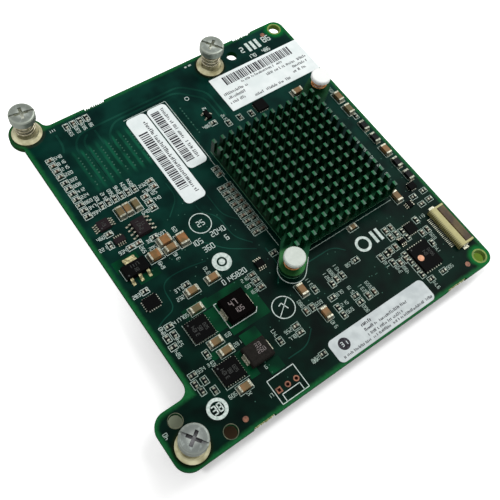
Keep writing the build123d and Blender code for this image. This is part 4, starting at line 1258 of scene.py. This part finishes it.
# Leads, plates, ends and tails are tinned.
dress(tin_finish, "inductor_plates", "memory_chip_leads", "narrow_chip_leads", "logic_chip_leads")
dress(tin_finish, "large_capacitor_ends", "cable_anchors")
dress(warm_tin_finish, "linear_regulator_leads")
dress(dull_tin_finish, "ferrite_chip_ends", "cable_contacts")


# Chip capacitors, resistors and ferrites. Fired ceramic, from olive tan to orange brown by the batch, and
# black for the resistors and ferrites.
ceramic_sockets = {"Roughness": 0.5, "Specular IOR Level": 0.22}
tan_finish = mottled("tan_ceramic", ceramic_sockets, seen(90, 86, 58), seen(136, 102, 66), 4, 0.01, 1.0)
orange_finish = mottled("orange_ceramic", ceramic_sockets, seen(108, 84, 48), seen(154, 104, 62), 2, 0.01)
brown_finish = mottled("brown_ceramic", ceramic_sockets, seen(34, 38, 34), seen(106, 82, 66), 4, 0.01, 1.0)
film_sockets = {"Roughness": 0.5, "Specular IOR Level": 0.08}
film_finish = mottled("black_film", film_sockets, seen(14, 15, 16), seen(32, 33, 35), 0.5, 0.01)
dress(tan_finish, "large_capacitors")
dress(orange_finish, "wide_capacitors")
dress(brown_finish, "small_capacitors")
dress(film_finish, "chip_resistors", "ferrite_chips")


# Flat-cable connector. Beige housing and a dark brown flip bar. The housing's roof is painted paler as
# lit, its rear wall and foot are painted darker as shaded, darkening towards the board, and the slots
# between the contacts are painted dark as shaded.
housing_finish = surface("beige_housing", {"Roughness": 0.5, "Specular IOR Level": 0.3})
housing_x, housing_y, housing_z = board_axes(housing_finish)
housing_tone = housing_finish.noise(1.2 * mm)
# Painted light on the roof, and painted shade on the rear wall and foot, which darken towards the board.
lit_roof_colour = housing_finish.blend(housing_tone, seen(166, 160, 106), seen(192, 186, 132))
shaded_foot_colour = housing_finish.blend(housing_tone, seen(116, 112, 66), seen(148, 142, 90))
wall_rise = (0.5, 1.35)
roof_start = (80.8, 81.7)
contact_pitch = 0.5
above_wall = housing_finish.smooth(housing_z, *wall_rise)
roof_share = above_wall.least(housing_finish.smooth(housing_x, *roof_start))
# Painted shade: dark stripes on the rear wall and foot between the contacts, where the slots are shaded.
slot_wave = (housing_y * (2 * np.pi / contact_pitch)).sine()
slot_shade_share = housing_finish.smooth(slot_wave, 0.0, 0.8) * (1.0 - roof_share) * 0.85
housing_colour = housing_finish.blend(roof_share, shaded_foot_colour, lit_roof_colour)
housing_finish.set({"Base Color": housing_finish.blend(slot_shade_share, housing_colour, seen(52, 50, 30))})
housing_finish.bump(housing_finish.noise(0.25 * mm), 0.01 * mm)
bar_sockets = {"Roughness": 0.5, "Specular IOR Level": 0.25}
bar_finish = mottled("brown_bar", bar_sockets, seen(60, 44, 30), seen(94, 80, 46), 3.5, 0.01)
dress(housing_finish, "cable_housing")
dress(bar_finish, "cable_flip_bar")


# Controller under the heat sink, and the host connector on the underside. The controller is a green
# carrier with a nickel lid and a grey pad, and the connector is black with gilt blades.
carrier_finish = mottled("carrier", {"Roughness": 0.4}, seen(24, 78, 52), seen(40, 104, 70), 1.5, 0.01)
lid_sockets = {"Metallic": 1.0, "Roughness": 0.4}
lid_finish = mottled("nickel_lid", lid_sockets, seen(158, 158, 154), seen(186, 186, 182), 1.0, 0.01)
pad_sockets = {"Roughness": 0.85}
pad_finish = mottled("thermal_pad", pad_sockets, seen(126, 128, 134), seen(158, 160, 164), 0.8, 0.02)
host_sockets = {"Roughness": 0.55, "Specular IOR Level": 0.2}
host_finish = mottled("black_moulding", host_sockets, seen(18, 18, 19), seen(36, 36, 38), 0.6, 0.02)
gilt_finish = mottled("gilt", wire_sockets, seen(198, 156, 74), seen(230, 194, 112), 1.2, 0.01)
dress(carrier_finish, "controller_substrate")
dress(lid_finish, "controller_lid")
dress(pad_finish, "thermal_pad")
dress(host_finish, "host_housing")
dress(gilt_finish, "host_blades")


# Labels. White paper with glue on its back, printed with plain bars and rows of ticks in dark grey. The
# one along the near edge is greyer and has a dark disc.
paper_sockets = {"Roughness": 0.6, "Specular IOR Level": 0.15}
paper_finish = mottled("paper", paper_sockets, seen(230, 239, 238), seen(243, 250, 249), 4, 0.01)
grey_pair = (seen(192, 200, 201), seen(212, 220, 220))
grey_paper_finish = mottled("grey_paper", paper_sockets, *grey_pair, 3, 0.01)
dress(paper_finish, "serial_label", "address_label_1", "address_label_2")
dress(grey_paper_finish, "product_label")
ink_finish = mottled("ink", ink_sockets, seen(34, 33, 38), seen(66, 64, 70), 0.5, 0.01)
grey_ink_finish = mottled("grey_ink", ink_sockets, seen(62, 64, 68), seen(100, 102, 106), 0.5, 0.01)
label_top = 0.12
label_ink_foot = 0.1
label_ink_top = label_top + 0.02
disc_ink_top = label_top + 0.03
stroke_widths = (0.2, 0.34, 0.5)
stroke_gaps = (0.16, 0.26, 0.36)
tick_gap_chance = 0.14
tick_gap = 0.5
tick_heights = (0.6, 0.8, 1.0)
tick_width = 0.24
tick_steps = (0.42, 0.56)
foot_chance = 0.6
foot_levels = (0.0, 0.45, 0.8)
foot_length = 0.42
foot_height = 0.17
lines = np.random.default_rng(3)


def bar_code(low, high, upright):
    """Bars of uneven width across a strip, as rows of low and high corners."""
    rows = []
    axis = 1 if upright else 0
    at = low[axis]
    while at < high[axis] - stroke_widths[0]:
        wide = lines.choice(stroke_widths)
        top = min(at + wide, high[axis])
        rows.append((low[0], at, high[0], top) if upright else (at, low[1], top, high[1]))
        at += wide + lines.choice(stroke_gaps)
    return rows


def tick_row(start, end, middle, height, upright=False):
    """Short ticks in groups along a row, as rows of low and high corners. Some have a foot, and all
    their sizes are shares of the row's height."""
    rows = []
    at = start
    while at < end:
        if lines.random() < tick_gap_chance:
            at += tick_gap * height
            continue
        tall = height * lines.choice(tick_heights)
        wide = tick_width * height
        low = middle - height / 2
        strokes = [(at, low, at + wide, low + tall)]
        if lines.random() < foot_chance:
            level = low + lines.choice(foot_levels) * tall
            strokes.append((at, level, at + foot_length * height, level + foot_height * height))
        rows += [(y0, x0, y1, x1) if upright else (x0, y0, x1, y1) for x0, y0, x1, y1 in strokes]
        at += height * lines.choice(tick_steps)
    return rows


dark_rows = bar_code((59.0, 84.5), (83.2, 87.6), False)
dark_rows += bar_code((27.9, 62.0), (30.7, 82.9), True)
dark_rows += bar_code((34.4, 68.5), (37.0, 87.0), True)
dark_rows += tick_row(44.3, 47.5, 5.65, 0.9)
grey_rows = []
for start, end, middle, height in (
    (63.5, 78.0, 83.7, 0.85),
    (56.2, 64.3, 82.0, 0.95),
    (71.5, 85.7, 82.0, 0.95),
    (56.2, 63.0, 80.4, 0.95),
    (78.5, 85.3, 80.4, 0.95),
    (56.2, 61.4, 78.7, 0.95),
    (78.5, 83.5, 78.7, 0.95),
    (64.0, 77.0, 77.5, 0.95),
    (44.3, 58.0, 4.2, 0.8),
    (44.3, 55.5, 2.8, 0.8),
    (35.5, 44.0, 1.6, 0.75),
    (45.0, 65.0, 1.6, 0.75),
):
    grey_rows += tick_row(start, end, middle, height)
grey_rows += tick_row(59.5, 86.0, 31.8, 1.1, True)
grey_rows += tick_row(68.0, 87.5, 38.2, 1.0, True)
dark_parts = [plates(dark_rows), discs([(37.7, 4.3)], 1.6, 32)]
flat_prisms("label_bars", dark_parts, label_ink_foot, label_ink_top, ink_finish)
grey_parts = [plates(grey_rows)]
flat_prisms("label_ticks", grey_parts, label_ink_foot, label_ink_top, grey_ink_finish)
disc_numbers = [("3", 37.2, 4.4, 1.1, 0, 0.2), ("1", 38.3, 4.2, 0.9, 0, 0.2)]
disc_parts = [number_group(disc_numbers)]
flat_prisms("label_disc_marks", disc_parts, label_ink_foot, disc_ink_top, grey_paper_finish)
